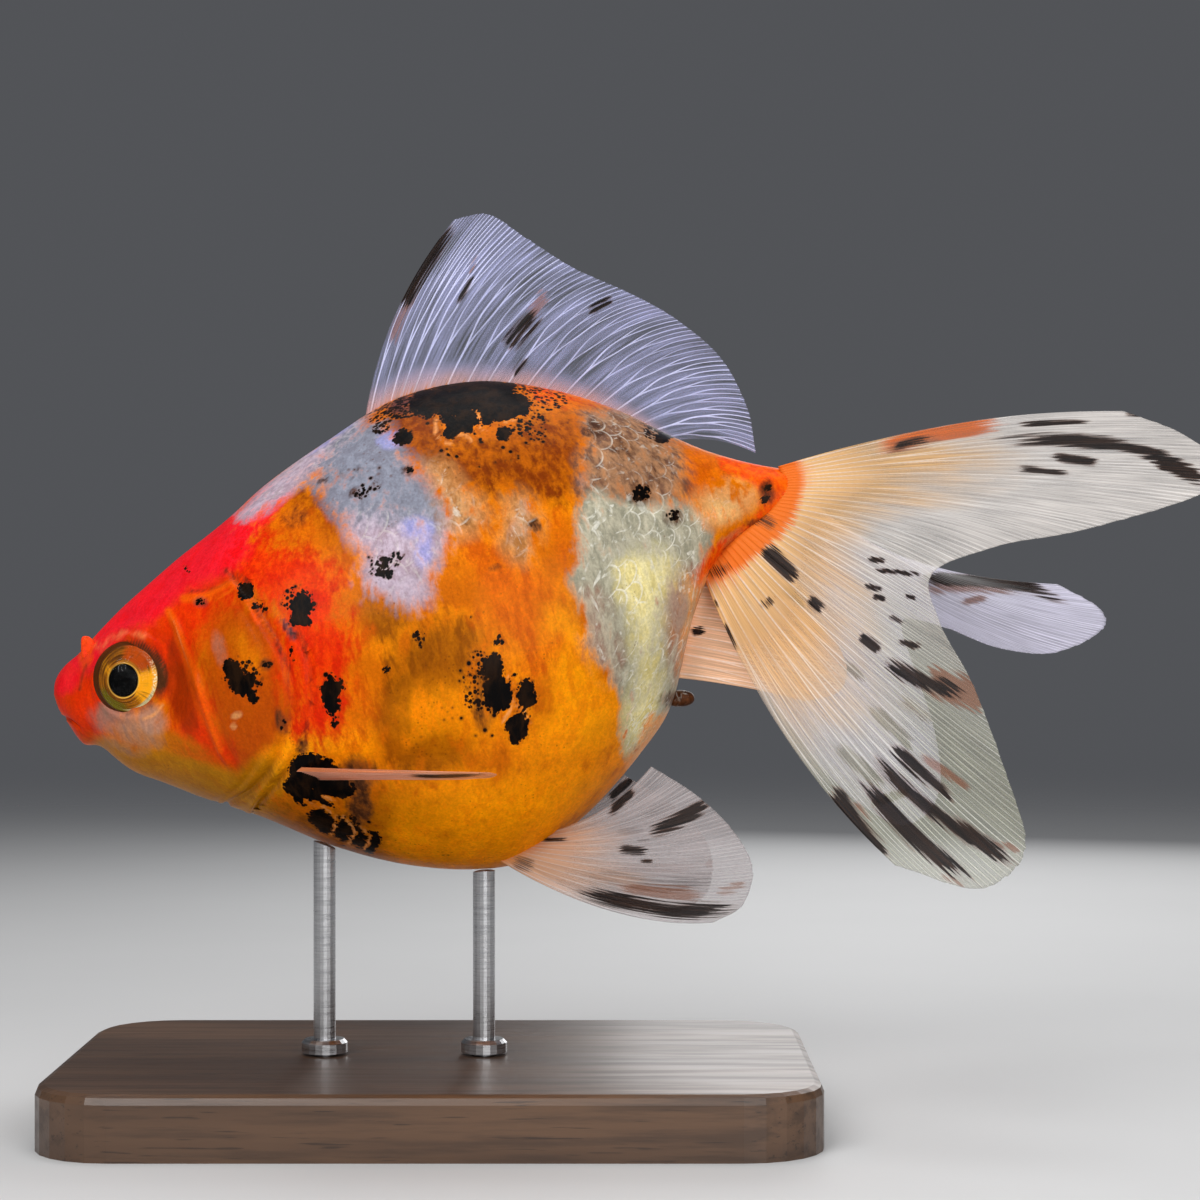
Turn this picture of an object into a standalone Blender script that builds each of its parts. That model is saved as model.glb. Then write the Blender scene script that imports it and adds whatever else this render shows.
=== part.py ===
"""Calico fancy goldfish with a double tail, as a still, life-size model over a small base on two rods.

Metres, +Z up. The origin is the centre of the base's underside. The head points to -X, the tail to +X, and the
fish's left side faces -Y. Tables are in millimetres and are turned into metres as they are read.
"""

import math

import bmesh
import bpy
from mathutils import Matrix, Vector

MM = 0.001

# ---- driving dimensions -------------------------------------------------------------------------------------
GAP = 0.3 * MM  # left between neighbouring pieces
FIN_THICKNESS = 0.6 * MM
RINGS = 33  # sections of the body's loft
AROUND = 26  # points round each section

BASE_LENGTH = 84 * MM
BASE_WIDTH = 54 * MM
BASE_HEIGHT = 7 * MM
BASE_CORNER = 9 * MM
BASE_CHAMFER = 1.0 * MM

ROD_RADIUS = 1.25 * MM
ROD_COLLAR_RADIUS = 2.6 * MM
ROD_COLLAR_HEIGHT = 1.5 * MM
ROD_SOCKET_DEPTH = 5 * MM
ROD_BITE = 3 * MM  # how far a rod runs into the belly before the body trims it
ROD_PLACES = {"stand_rod_front": (-13 * MM, 31 * MM), "stand_rod_rear": (5 * MM, 28 * MM)}  # x, belly's height

EYE_CENTRE = Vector((-33.8, -6.1, 49.7)) * MM
EYE_RADIUS = 4.6 * MM

# Body sections, each in a plane across the middle plane, from a point on the back to one on the belly:
# back x, back z, belly x, belly z, half width, height of the widest place (share), ridge of the back (power).
BODY_SECTIONS = [
    (-43.7, 47.6, -43.7, 47.6, 0.0, 0.50, 1.00),
    (-43.3, 49.5, -42.9, 45.7, 2.1, 0.50, 1.00),
    (-42.3, 51.0, -41.8, 44.2, 3.5, 0.50, 1.00),
    (-40.6, 52.5, -40.2, 42.0, 5.1, 0.50, 1.00),
    (-38.3, 55.0, -38.0, 41.6, 6.8, 0.50, 1.00),
    (-35.0, 58.3, -34.6, 39.0, 8.9, 0.48, 1.05),
    (-30.0, 62.7, -29.6, 37.1, 11.7, 0.46, 1.10),
    (-25.0, 66.7, -24.6, 35.2, 14.2, 0.44, 1.15),
    (-19.6, 71.6, -19.6, 33.6, 16.3, 0.43, 1.25),
    (-13.0, 76.3, -12.0, 30.5, 18.0, 0.42, 1.35),
    (-5.0, 81.2, -4.0, 28.4, 18.9, 0.41, 1.40),
    (4.0, 83.2, 4.0, 27.8, 18.6, 0.41, 1.40),
    (12.5, 82.3, 10.0, 29.0, 17.2, 0.43, 1.35),
    (20.0, 80.0, 17.0, 34.3, 14.6, 0.46, 1.25),
    (26.0, 77.1, 22.9, 41.0, 11.2, 0.50, 1.15),
    (30.0, 75.4, 26.4, 46.6, 8.3, 0.52, 1.05),
    (34.0, 74.2, 28.3, 55.0, 6.0, 0.52, 1.00),
    (37.4, 73.5, 31.0, 61.8, 4.7, 0.52, 1.00),
    (40.0, 73.1, 36.4, 64.8, 3.7, 0.52, 1.00),
    (41.8, 72.6, 40.0, 67.6, 2.6, 0.52, 1.00),
    (42.6, 71.0, 42.6, 71.0, 0.0, 0.52, 1.00),
]
BELLY_POWER = 0.92  # under 1 the belly's section is a little squarer than an ellipse

# Where the body is parted, as lines in the middle plane from above the back to below the belly (x, z).
MOUTH_LINE = [(-43.0, 60.0), (-41.2, 51.5), (-39.0, 45.0), (-37.6, 36.0)]
GILL_LINE = [
    (-27.0, 95.0),
    (-25.2, 66.0),
    (-23.1, 59.6),
    (-19.1, 56.0),
    (-16.9, 53.0),
    (-16.0, 49.6),
    (-16.4, 45.0),
    (-17.5, 42.0),
    (-19.7, 38.4),
    (-21.6, 34.2),
    (-23.0, 20.0),
]
STALK_LINE = [(35.5, 95.0), (32.4, 76.0), (30.6, 66.0), (29.0, 59.0), (30.4, 54.0), (32.0, 20.0)]
GILL_COVER_OUTLINE = [
    (-22.0, 61.5),
    (-28.2, 56.8),
    (-28.6, 54.2),
    (-27.4, 51.6),
    (-26.1, 49.0),
    (-25.1, 46.0),
    (-23.6, 41.8),
    (-21.4, 38.4),
    (-18.4, 36.8),
    (-10.0, 37.0),
    (-10.0, 61.5),
]
GILL_COVER_INNER_FACE = ((-29.0, 6.4), (-16.0, 10.2))  # x and distance from the middle plane, at its two ends

# Fins. Their rays run from a root line, sunk a little into the body, to a free edge. Both are smooth curves through
# points (x, y, z), given from the leading ray to the last. A ray's middle stands off the straight line from root to
# edge by the fin's bow, which also changes from the leading ray to the last. Left fins; -Y is outwards.
DORSAL_FIN = {
    "root": [(-8.6, 0, 77.6), (-2.5, 0, 80.8), (8.0, 0, 81.4), (18.0, 0, 79.0), (25.0, 0, 76.0)],
    "edge": [(1.6, 0.6, 101.4), (5.6, 1.4, 102.2), (9.6, 1.2, 99.6), (15.0, -0.4, 95.9), (21.6, -1.4, 92.7),
             (27.2, -0.8, 89.6), (32.0, 0.6, 85.6), (34.8, 1.4, 80.2), (35.7, 1.0, 74.9)],
    "bow": [(-1.7, 0, 0.7), (-0.4, 0, 1.9), (0.2, 0, 1.0)],
}
PECTORAL_FIN = {
    "root": [(-16.0, -12.6, 40.0), (-14.0, -13.6, 38.9)],
    "edge": [(5.8, -31.5, 40.7), (7.4, -27.0, 40.2), (6.6, -22.8, 39.8), (3.2, -20.4, 39.5)],
    "bow": [(0.0, -3.1, 0.1), (1.0, -1.6, 0.1)],
}
PELVIC_FIN = {
    "root": [(6.6, -5.8, 29.6), (9.1, -6.0, 30.7), (11.6, -5.0, 32.2)],
    "edge": [(30.4, -13.0, 23.4), (33.8, -14.0, 25.4), (34.6, -14.4, 29.2), (32.8, -13.2, 33.2), (29.0, -11.0, 36.8),
             (23.8, -8.8, 40.0)],
    "bow": [(0.5, -1.1, -2.1), (0.6, -1.4, -1.0), (0.9, -1.5, -0.7)],
}
RIGHT_PELVIC_SWING = (-3.0, 1.5, -2.0)  # how much further down and out the right one's edge is held
ANAL_FIN = {
    "root": [(26.2, -1.6, 49.6), (28.4, -1.6, 59.0)],
    "edge": [(41.0, -5.0, 47.0), (44.6, -5.6, 48.2), (45.6, -5.8, 51.0), (43.4, -5.4, 54.6), (39.0, -4.6, 57.8)],
    "bow": [(0.2, 0.1, 0.3), (0.6, 0.0, 0.2)],
}
# The left tail fin hangs towards -Y. The middle of its edge is the fork between its two lobes.
TAIL_FIN_LEFT = {
    "root": [(39.2, -0.9, 72.7), (40.0, -1.3, 71.1), (38.8, -2.2, 67.8), (34.8, -3.0, 64.8), (29.4, -3.0, 61.2)],
    "edge": [(75.2, -10.0, 79.0), (82.2, -14.0, 76.0), (85.0, -17.0, 71.6), (77.8, -18.0, 68.0), (68.8, -17.0, 65.4),
             (60.4, -15.2, 63.9), (53.8, -14.4, 60.9), (54.6, -16.4, 55.4), (57.9, -19.0, 49.3), (60.0, -23.0, 42.2),
             (62.4, -26.0, 32.6), (58.0, -26.0, 28.2), (49.3, -22.0, 30.2)],
    "bow": [(0.0, 0.4, 1.5), (1.0, 0.2, 0.4), (-1.3, 1.4, -2.1)],
}
# The right tail fin is swept further out and back, so its upper lobe droops and twists.
TAIL_FIN_RIGHT = {
    "root": [(39.2, 0.9, 72.7), (40.0, 1.3, 71.1), (38.8, 2.2, 67.8), (34.8, 3.0, 64.8), (29.4, 3.0, 61.2)],
    "edge": [(76.0, 36.0, 60.3), (80.6, 34.0, 57.0), (80.0, 31.0, 54.0), (74.0, 27.0, 51.9), (66.4, 23.0, 52.6),
             (59.4, 19.6, 54.8), (54.2, 17.4, 55.8), (56.0, 20.0, 49.6), (59.0, 25.0, 42.6), (60.0, 28.0, 36.0),
             (58.4, 30.0, 31.6), (55.0, 29.4, 30.2), (49.6, 26.0, 33.2)],
    "bow": [(-4.1, 5.0, -3.1), (1.3, 1.8, -1.6), (-0.7, -0.2, -1.5)],
}
FORK = 0.5  # place of the fork across a tail fin's rays
LOBE_PARTING = 0.006  # half of the thin cut between a tail fin's lobes, as a share of the way across


# ---- smooth curves through points ---------------------------------------------------------------------------
def through(points, share):
    """The place at a share (0 to 1) of the Catmull-Rom curve through these points."""
    points = [Vector(p) for p in points]
    place = min(max(share, 0.0), 1.0) * (len(points) - 1)
    i = min(int(place), len(points) - 2)
    t = place - i
    b, c = points[i], points[i + 1]
    a = points[i - 1] if i > 0 else 2 * b - c
    d = points[i + 2] if i + 2 < len(points) else 2 * c - b
    return 0.5 * (2 * b + (c - a) * t + (2 * a - 5 * b + 4 * c - d) * t * t + (3 * b - a - 3 * c + d) * t**3)


def body_point(along, turn):
    """A point of the body's surface. along runs from snout to tail root, and turn once round from the back."""
    back_x, back_z, belly_x, belly_z, half_width, waist, ridge = through(BODY_SECTIONS, along)
    up, side = math.cos(turn * math.tau), math.sin(turn * math.tau)
    height = waist + (1 - waist) * up if up > 0 else waist * (1 + up)
    width = max(half_width, 0) * abs(side) ** (ridge if up > 0 else BELLY_POWER)
    x = belly_x + (back_x - belly_x) * height
    z = belly_z + (back_z - belly_z) * height
    return Vector((x, math.copysign(width, side), z)) * MM


# ---- objects ------------------------------------------------------------------------------------------------
def collection(name):
    made = bpy.data.collections.new(name)
    bpy.context.scene.collection.children.link(made)
    return made


def clear_scene():
    for old in list(bpy.data.objects):
        bpy.data.objects.remove(old)


def material(name, colour, roughness, metallic=0.0):
    made = bpy.data.materials.get(name)
    if made is None:
        made = bpy.data.materials.new(name)
        made.use_nodes = True
        shader = made.node_tree.nodes["Principled BSDF"]
        shader.inputs["Base Color"].default_value = (*colour, 1)
        shader.inputs["Roughness"].default_value = roughness
        shader.inputs["Metallic"].default_value = metallic
    return made


def add_object(name, mesh, where, finish=None):
    made = bpy.data.objects.new(name, mesh)
    where.objects.link(made)
    if finish:
        mesh.materials.clear()
        mesh.materials.append(finish)
    if where is HELPERS:
        made.hide_render = True
        made.display_type = "WIRE"
    return made


def mesh_from(name, bm):
    bmesh.ops.recalc_face_normals(bm, faces=bm.faces)
    mesh = bpy.data.meshes.new(name)
    bm.to_mesh(mesh)
    bm.free()
    return mesh


def boolean(target, operation, tool):
    step = target.modifiers.new(f"{operation.lower()} {tool.name}", "BOOLEAN")
    step.operation = operation
    step.solver = "EXACT"
    step.object = tool


def smooth(obj, angle=50):
    obj.data.shade_smooth()
    obj.data.set_sharp_from_angle(angle=math.radians(angle))


def mirrored(shape):
    """A fin on the other side of the middle plane."""
    return {line: [(x, -y, z) for x, y, z in points] for line, points in shape.items()}


def swung(shape, by):
    """A fin whose free edge is moved by this much."""
    return {**shape, "edge": [tuple(Vector(p) + Vector(by)) for p in shape["edge"]]}


# ---- body ---------------------------------------------------------------------------------------------------
def body_mesh(name):
    """The whole body as one loft, closed at the snout and at the tail root."""
    bm = bmesh.new()
    snout = bm.verts.new(body_point(0, 0))
    root = bm.verts.new(body_point(1, 0))
    rings = []
    for i in range(1, RINGS):
        along = i / RINGS
        rings.append([bm.verts.new(body_point(along, k / AROUND)) for k in range(AROUND)])
    for k in range(AROUND):
        following = (k + 1) % AROUND
        bm.faces.new((snout, rings[0][following], rings[0][k]))
        bm.faces.new((root, rings[-1][k], rings[-1][following]))
        for near, far in zip(rings, rings[1:]):
            bm.faces.new((near[k], near[following], far[following], far[k]))
    return mesh_from(name, bm)


def slab(name, front_line, rear_line, half_width=60 * MM):
    """A block across the whole body between two lines of the middle plane, both running down."""
    outline = [*front_line, *reversed(rear_line)]
    return prism(name, outline, lambda x: -half_width, lambda x: half_width)


def prism(name, outline, near_side, far_side):
    """A block with this outline in x and z. near_side and far_side give y for an x."""
    bm = bmesh.new()
    near = [bm.verts.new((x * MM, near_side(x), z * MM)) for x, z in outline]
    far = [bm.verts.new((x * MM, far_side(x), z * MM)) for x, z in outline]
    bm.faces.new(near)
    bm.faces.new(list(reversed(far)))
    for i in range(len(outline)):
        j = (i + 1) % len(outline)
        bm.faces.new((near[j], near[i], far[i], far[j]))
    bmesh.ops.triangulate(bm, faces=[f for f in bm.faces if len(f.verts) > 4])
    return add_object(name, mesh_from(name, bm), HELPERS)


def shifted(line, dx):
    return [(x + dx, z) for x, z in line]


def straight_line(x):
    return [(x, 120.0), (x, 0.0)]


def grown(outline, by):
    """An outline made larger all round by about this much, in mm."""
    middle = Vector((sum(x for x, z in outline), sum(z for x, z in outline))) / len(outline)
    made = []
    for point in outline:
        ray = Vector(point) - middle
        made.append(tuple(middle + ray * (1 + by / ray.length)))
    return made


def gill_plug(name, side, spare):
    """The block that parts a gill cover from the head. side is -1 for the left, 1 for the right."""
    (x0, y0), (x1, y1) = GILL_COVER_INNER_FACE

    def inner(x):
        return side * (y0 + (x - x0) / (x1 - x0) * (y1 - y0) - spare) * MM

    return prism(name, grown(GILL_COVER_OUTLINE, spare), inner, lambda x: side * 60 * MM)


def eyeball(name, side, radius, where, finish=None):
    bm = bmesh.new()
    bmesh.ops.create_uvsphere(bm, u_segments=20, v_segments=12, radius=radius)
    made = add_object(name, mesh_from(name, bm), where, finish)
    made.location = (EYE_CENTRE.x, side * abs(EYE_CENTRE.y), EYE_CENTRE.z)
    made.rotation_euler = (math.radians(90), 0, 0)
    return made


def flesh(name, blocks, cuts, finish):
    """A piece of the body: what lies in every block and in no cut."""
    made = add_object(name, BODY_MESH.copy(), PARTS, finish)
    for block in blocks:
        boolean(made, "INTERSECT", block)
    for cut in cuts:
        boolean(made, "DIFFERENCE", cut)
    smooth(made)
    return made


def build_body():
    half_gap = 0.5 * GAP / MM
    mouth_block = slab("mouth_block", straight_line(-60.0), shifted(MOUTH_LINE, -half_gap))
    head_block = slab("head_block", shifted(MOUTH_LINE, half_gap), shifted(GILL_LINE, -half_gap))
    trunk_block = slab("trunk_block", shifted(GILL_LINE, half_gap), shifted(STALK_LINE, -half_gap))
    stalk_block = slab("stalk_block", shifted(STALK_LINE, half_gap), straight_line(60.0))
    red = material("red_skin", (0.80, 0.07, 0.02), 0.35)
    orange = material("orange_skin", (0.82, 0.22, 0.01), 0.35)
    pearl = material("pearl_skin", (0.72, 0.62, 0.50), 0.3)
    flesh("mouth", [mouth_block], [], red)
    cuts = []
    for side, word in ((-1, "left"), (1, "right")):
        plug = gill_plug(f"gill_plug_{word}", side, 0)
        flesh(f"gill_cover_{word}", [head_block, plug], [], orange)
        cuts.append(gill_plug(f"gill_opening_{word}", side, GAP / MM))
        cuts.append(eyeball(f"eye_socket_{word}", side, EYE_RADIUS + GAP, HELPERS))
    flesh("head", [head_block], cuts, red)
    flesh("trunk", [trunk_block], [], orange)
    flesh("tail_stalk", [stalk_block], [], pearl)


def build_eyes():
    gold = material("eye", (0.55, 0.30, 0.05), 0.15)
    for side, word in ((-1, "left"), (1, "right")):
        smooth(eyeball(f"eye_{word}", side, EYE_RADIUS, PARTS, gold), 80)


# ---- small soft parts of the head and belly -----------------------------------------------------------------
def bud(name, centre, radii, lean, finish):
    """A small rounded flap or bud, trimmed where it meets the body. lean turns it about Y."""
    bm = bmesh.new()
    bmesh.ops.create_uvsphere(bm, u_segments=12, v_segments=8, radius=1)
    bmesh.ops.scale(bm, vec=Vector(radii) * MM, verts=bm.verts)
    bmesh.ops.rotate(bm, matrix=Matrix.Rotation(math.radians(lean), 3, "Y"), verts=bm.verts)
    made = add_object(name, mesh_from(name, bm), PARTS, finish)
    made.location = Vector(centre) * MM
    boolean(made, "DIFFERENCE", BODY_CLEAR)
    smooth(made, 80)


def build_buds():
    red = material("red_skin", (0.80, 0.07, 0.02), 0.35)
    brown = material("vent_skin", (0.25, 0.12, 0.05), 0.4)
    for side, word in ((-1, "left"), (1, "right")):
        bud(f"nostril_flap_{word}", (-39.5, side * 3.7, 52.5), (0.8, 0.45, 2.3), 6, red)
    bud("vent", (27.0, 0, 47.2), (1.7, 1.3, 1.1), 0, brown)


# ---- fins ---------------------------------------------------------------------------------------------------
def fin_point(shape, out, across):
    """A point of a fin's middle surface: out runs along a ray, across runs over the rays."""
    root, edge, bow = (through(shape[line], across) for line in ("root", "edge", "bow"))
    return (root + (edge - root) * out + bow * 4 * out * (1 - out)) * MM


def fin(name, shape, steps_out, steps_across, finish, first=0.0, last=1.0):
    """A thin plate along the fin's rays, trimmed where it meets the body."""
    bm = bmesh.new()
    grid = []
    for i in range(steps_out + 1):
        row = []
        for k in range(steps_across + 1):
            across = first + (last - first) * k / steps_across
            row.append(bm.verts.new(fin_point(shape, i / steps_out, across)))
        grid.append(row)
    for lower, upper in zip(grid, grid[1:]):
        for k in range(steps_across):
            bm.faces.new((lower[k], lower[k + 1], upper[k + 1], upper[k]))
    made = add_object(name, mesh_from(name, bm), PARTS, finish)
    plate = made.modifiers.new("thickness", "SOLIDIFY")
    plate.thickness = FIN_THICKNESS
    plate.offset = 0
    boolean(made, "DIFFERENCE", BODY_CLEAR)
    smooth(made)


def build_fins():
    clear_fin = material("clear_fin", (0.75, 0.75, 0.80), 0.3)
    warm_fin = material("warm_fin", (0.80, 0.62, 0.42), 0.3)
    fin("dorsal_fin", DORSAL_FIN, 7, 18, clear_fin)
    left_fins = (PECTORAL_FIN, PELVIC_FIN, ANAL_FIN)
    right_pelvic = swung(mirrored(PELVIC_FIN), RIGHT_PELVIC_SWING)
    right_fins = (mirrored(PECTORAL_FIN), right_pelvic, mirrored(ANAL_FIN))
    for word, (pectoral, pelvic, anal) in (("left", left_fins), ("right", right_fins)):
        fin(f"pectoral_fin_{word}", pectoral, 6, 6, warm_fin)
        fin(f"pelvic_fin_{word}", pelvic, 7, 10, clear_fin)
        fin(f"anal_fin_{word}", anal, 5, 7, warm_fin)
    for word, shape in (("left", TAIL_FIN_LEFT), ("right", TAIL_FIN_RIGHT)):
        fin(f"tail_fin_{word}_upper", shape, 8, 12, clear_fin, 0.0, FORK - LOBE_PARTING)
        fin(f"tail_fin_{word}_lower", shape, 8, 12, warm_fin, FORK + LOBE_PARTING, 1.0)


# ---- stand --------------------------------------------------------------------------------------------------
def rod_profile(top):
    """A turned rod's outer side from top to bottom, as (radius, height), with a collar just over the base."""
    collar_bottom = BASE_HEIGHT + GAP
    collar_top = collar_bottom + ROD_COLLAR_HEIGHT
    bottom = BASE_HEIGHT - ROD_SOCKET_DEPTH + GAP
    return [
        (0, top),
        (ROD_RADIUS, top),
        (ROD_RADIUS, collar_top),
        (ROD_COLLAR_RADIUS - 0.4 * MM, collar_top),
        (ROD_COLLAR_RADIUS, collar_top - 0.4 * MM),
        (ROD_COLLAR_RADIUS, collar_bottom),
        (ROD_RADIUS, collar_bottom),
        (ROD_RADIUS, bottom),
        (0, bottom),
    ]


def turned(name, profile, x, steps, where, finish=None):
    bm = bmesh.new()
    points = [bm.verts.new((radius, 0, height)) for radius, height in profile]
    for a, b in zip(points, points[1:]):
        bm.edges.new((a, b))
    mesh = bpy.data.meshes.new(name)
    bm.to_mesh(mesh)
    bm.free()
    made = add_object(name, mesh, where, finish)
    made.location.x = x
    screw = made.modifiers.new("turn", "SCREW")
    screw.steps = screw.render_steps = steps
    screw.use_merge_vertices = True
    screw.merge_threshold = 0.01 * MM
    return made


def build_stand():
    steel = material("stand_steel", (0.55, 0.55, 0.56), 0.3, 1.0)
    wood = material("stand_wood", (0.10, 0.055, 0.03), 0.45)
    bm = bmesh.new()
    bmesh.ops.create_cube(bm, size=1)
    bmesh.ops.scale(bm, vec=(BASE_LENGTH, BASE_WIDTH, BASE_HEIGHT), verts=bm.verts)
    bmesh.ops.translate(bm, vec=(0, 0, BASE_HEIGHT / 2), verts=bm.verts)
    upright = [e for e in bm.edges if abs(e.verts[0].co.z - e.verts[1].co.z) > BASE_HEIGHT / 2]
    bmesh.ops.bevel(bm, geom=upright, offset=BASE_CORNER, segments=6, profile=0.5, affect="EDGES")
    rim = [e for e in bm.edges if all(v.co.z > BASE_HEIGHT - 0.01 * MM for v in e.verts)]
    bmesh.ops.bevel(bm, geom=rim, offset=BASE_CHAMFER, segments=2, profile=0.5, affect="EDGES")
    base = add_object("stand_base", mesh_from("stand_base", bm), PARTS, wood)
    for name, (x, belly) in ROD_PLACES.items():
        rod = turned(name, rod_profile(belly + ROD_BITE), x, 20, PARTS, steel)
        boolean(rod, "DIFFERENCE", BODY_CLEAR)
        smooth(rod, 40)
        radius = ROD_RADIUS + GAP
        floor = BASE_HEIGHT - ROD_SOCKET_DEPTH
        mouth = BASE_HEIGHT + 2 * MM
        hole = [(0, mouth), (radius, mouth), (radius, floor), (0, floor)]
        boolean(base, "DIFFERENCE", turned(f"hole_{name}", hole, x, 20, HELPERS))
    smooth(base, 40)


clear_scene()
PARTS = collection("goldfish")
HELPERS = collection("cutters")
BODY_MESH = body_mesh("body")
BODY_CLEAR = add_object("body_clear", BODY_MESH.copy(), HELPERS)
swell = BODY_CLEAR.modifiers.new("gap", "DISPLACE")
swell.strength = GAP
swell.mid_level = 0
build_body()
build_eyes()
build_buds()
build_fins()
build_stand()
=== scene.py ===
# %% [markdown]
# # A calico fancy goldfish on a small stand
#
# The solid model gives the fish its size and pose: a round body, parted fins, eyes like marbles. It has no
# surface. These cells give it one. A single smooth skin takes the place of the flesh, thin scales lie over
# it, the fins get their rays, and the eyes a pupil, a golden iris and a clear cornea.
#
# The head points to -X, the fish's left side faces -Y, and the stand's underside is at z = 0. Blender works
# in metres. The tables here are in millimetres, because a fish is easier to think of in millimetres.

# %% Load the solid model
import math

import bpy
import numpy as np
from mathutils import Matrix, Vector
from mathutils.bvhtree import BVHTree


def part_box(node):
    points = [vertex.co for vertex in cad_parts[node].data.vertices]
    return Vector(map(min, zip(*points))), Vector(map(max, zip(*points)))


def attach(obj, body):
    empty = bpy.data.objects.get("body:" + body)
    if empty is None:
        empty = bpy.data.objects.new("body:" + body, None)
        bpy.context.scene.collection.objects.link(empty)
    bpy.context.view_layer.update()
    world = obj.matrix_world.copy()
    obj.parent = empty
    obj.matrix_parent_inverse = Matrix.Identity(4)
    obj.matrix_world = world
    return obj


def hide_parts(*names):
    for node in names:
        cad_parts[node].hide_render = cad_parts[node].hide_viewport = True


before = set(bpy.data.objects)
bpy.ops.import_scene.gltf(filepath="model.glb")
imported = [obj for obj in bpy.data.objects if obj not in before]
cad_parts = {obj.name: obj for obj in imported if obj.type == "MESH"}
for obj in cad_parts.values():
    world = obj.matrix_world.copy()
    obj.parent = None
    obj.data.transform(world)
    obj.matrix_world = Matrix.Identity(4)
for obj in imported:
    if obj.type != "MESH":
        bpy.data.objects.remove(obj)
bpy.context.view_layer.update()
MM = 0.001

# %% [markdown]
# ## Curves, falls and grids
#
# A fish has no straight lines, so almost every shape here is a smooth curve through a few chosen points. A
# Catmull-Rom curve passes through its points, which makes it easy to plan by hand. numpy works out
# thousands of places on it at once.
#
# A grid of points becomes a mesh by naming each face's four corners. The order of the corners decides which
# way the face looks, so one function makes all of them.

# %% Helpers for shapes
def through(points, share):
    """Places at these shares (0 to 1) of the Catmull-Rom curve through the points."""
    points = np.asarray(points, float)
    held = np.vstack([2 * points[0] - points[1], points, 2 * points[-1] - points[-2]])
    place = np.clip(np.asarray(share, float), 0, 1) * (len(points) - 1)
    i = np.minimum(place.astype(int), len(points) - 2)
    t = (place - i)[..., None]
    a, b, c, d = (held[i + k] for k in range(4))
    return 0.5 * (2 * b + (c - a) * t + (2 * a - 5 * b + 4 * c - d) * t**2 + (3 * b - a - 3 * c + d) * t**3)


def ease(value, low, high):
    """0 at low, 1 at high, with a smooth change between. With low above high it falls instead."""
    t = np.clip((value - low) / (high - low), 0, 1)
    return t * t * (3 - 2 * t)


def hump(distance, width):
    """1 where the distance is 0, and a smooth fall of about this width on each side."""
    return np.exp(-((distance / width) ** 2))


def unit(vectors):
    return vectors / np.maximum(np.linalg.norm(vectors, axis=-1, keepdims=True), 1e-12)


def wander(a, b, pace, seed):
    """A smooth, gentle, repeatable randomness of two values, between about -1 and 1."""
    dice = np.random.default_rng(seed)
    total = 0
    for _ in range(6):
        turn, shift = dice.uniform(0, math.tau, 2)
        quick = pace * dice.uniform(0.6, 1.9)
        total = total + np.sin(quick * (a * math.cos(turn) + b * math.sin(turn)) + shift)
    return total / 3.5


def grid_faces(rows, columns, closed=False):
    """Faces of a grid of points that look along (down the rows) x (along a row)."""
    i, k = np.meshgrid(np.arange(rows - 1), np.arange(columns if closed else columns - 1), indexing="ij")
    beside = (k + 1) % columns
    corners = [i * columns + k, (i + 1) * columns + k, (i + 1) * columns + beside, i * columns + beside]
    return np.stack(corners, -1).reshape(-1, 4).tolist()


def grid_normals(points, closed=False):
    """The unit normal at each point of a grid of shape (rows, columns, 3)."""
    if closed:
        across = np.roll(points, -1, axis=1) - np.roll(points, 1, axis=1)
    else:
        across = np.gradient(points, axis=1)
    return unit(np.cross(np.gradient(points, axis=0), across))


print("half way along a curve:", through([(0, 0), (1, 2), (4, 0)], 0.5))

# %% [markdown]
# ## Meshes that carry numbers
#
# A mesh can hold a number for each of its points, called an attribute, and a material can read it. That is
# how the markings travel: Python works out how red, white or black each point is, and the material turns
# that into colour and breaks the edges up with fine noise. It needs no picture, and it works as well from
# any side.

# %% Helpers for pieces
def add_piece(name, points, faces, material, values=None, uv=None, rim=None):
    """A smooth-shaded mesh from points in millimetres. values holds one number a point under each name.

    Shading breaks along the edges between points that rim marks, as it does at the edge of a plate.
    """
    mesh = bpy.data.meshes.new(name)
    mesh.from_pydata((np.asarray(points).reshape(-1, 3) * MM).tolist(), [], faces)
    for key, numbers in (values or {}).items():
        layer = mesh.attributes.new(key, "FLOAT", "POINT")
        layer.data.foreach_set("value", np.asarray(numbers, np.float32).ravel())
    if uv is not None:
        point_of_corner = np.empty(len(mesh.loops), np.int32)
        mesh.loops.foreach_get("vertex_index", point_of_corner)
        layer = mesh.uv_layers.new(name="OFBake")
        layer.data.foreach_set("uv", np.asarray(uv, np.float32).reshape(-1, 2)[point_of_corner].ravel())
    mesh.shade_smooth()
    if rim is not None:
        ends = np.empty(2 * len(mesh.edges), np.int32)
        mesh.edges.foreach_get("vertices", ends)
        sharp = mesh.attributes.new("sharp_edge", "BOOLEAN", "EDGE")
        sharp.data.foreach_set("value", np.asarray(rim, bool)[ends.reshape(-1, 2)].all(axis=1))
    mesh.materials.append(material)
    piece = bpy.data.objects.new(name, mesh)
    bpy.context.scene.collection.objects.link(piece)
    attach(piece, "root")
    return piece


def join_parts(parts):
    """Several (points, faces, values) as one."""
    points, faces, start = [], [], 0
    for part_points, part_faces, _ in parts:
        part_points = np.asarray(part_points).reshape(-1, 3)
        points.append(part_points)
        faces += [[corner + start for corner in face] for face in part_faces]
        start += len(part_points)
    keys = parts[0][2].keys()
    values = {key: np.concatenate([np.ravel(part[2][key]) for part in parts]) for key in keys}
    return np.vstack(points), faces, values


# %% [markdown]
# ## Small words for materials
#
# A material is a chain of nodes. Wiring them one by one is long, so these helpers give each kind of node a
# short name, and a material below reads almost like a sentence.

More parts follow.
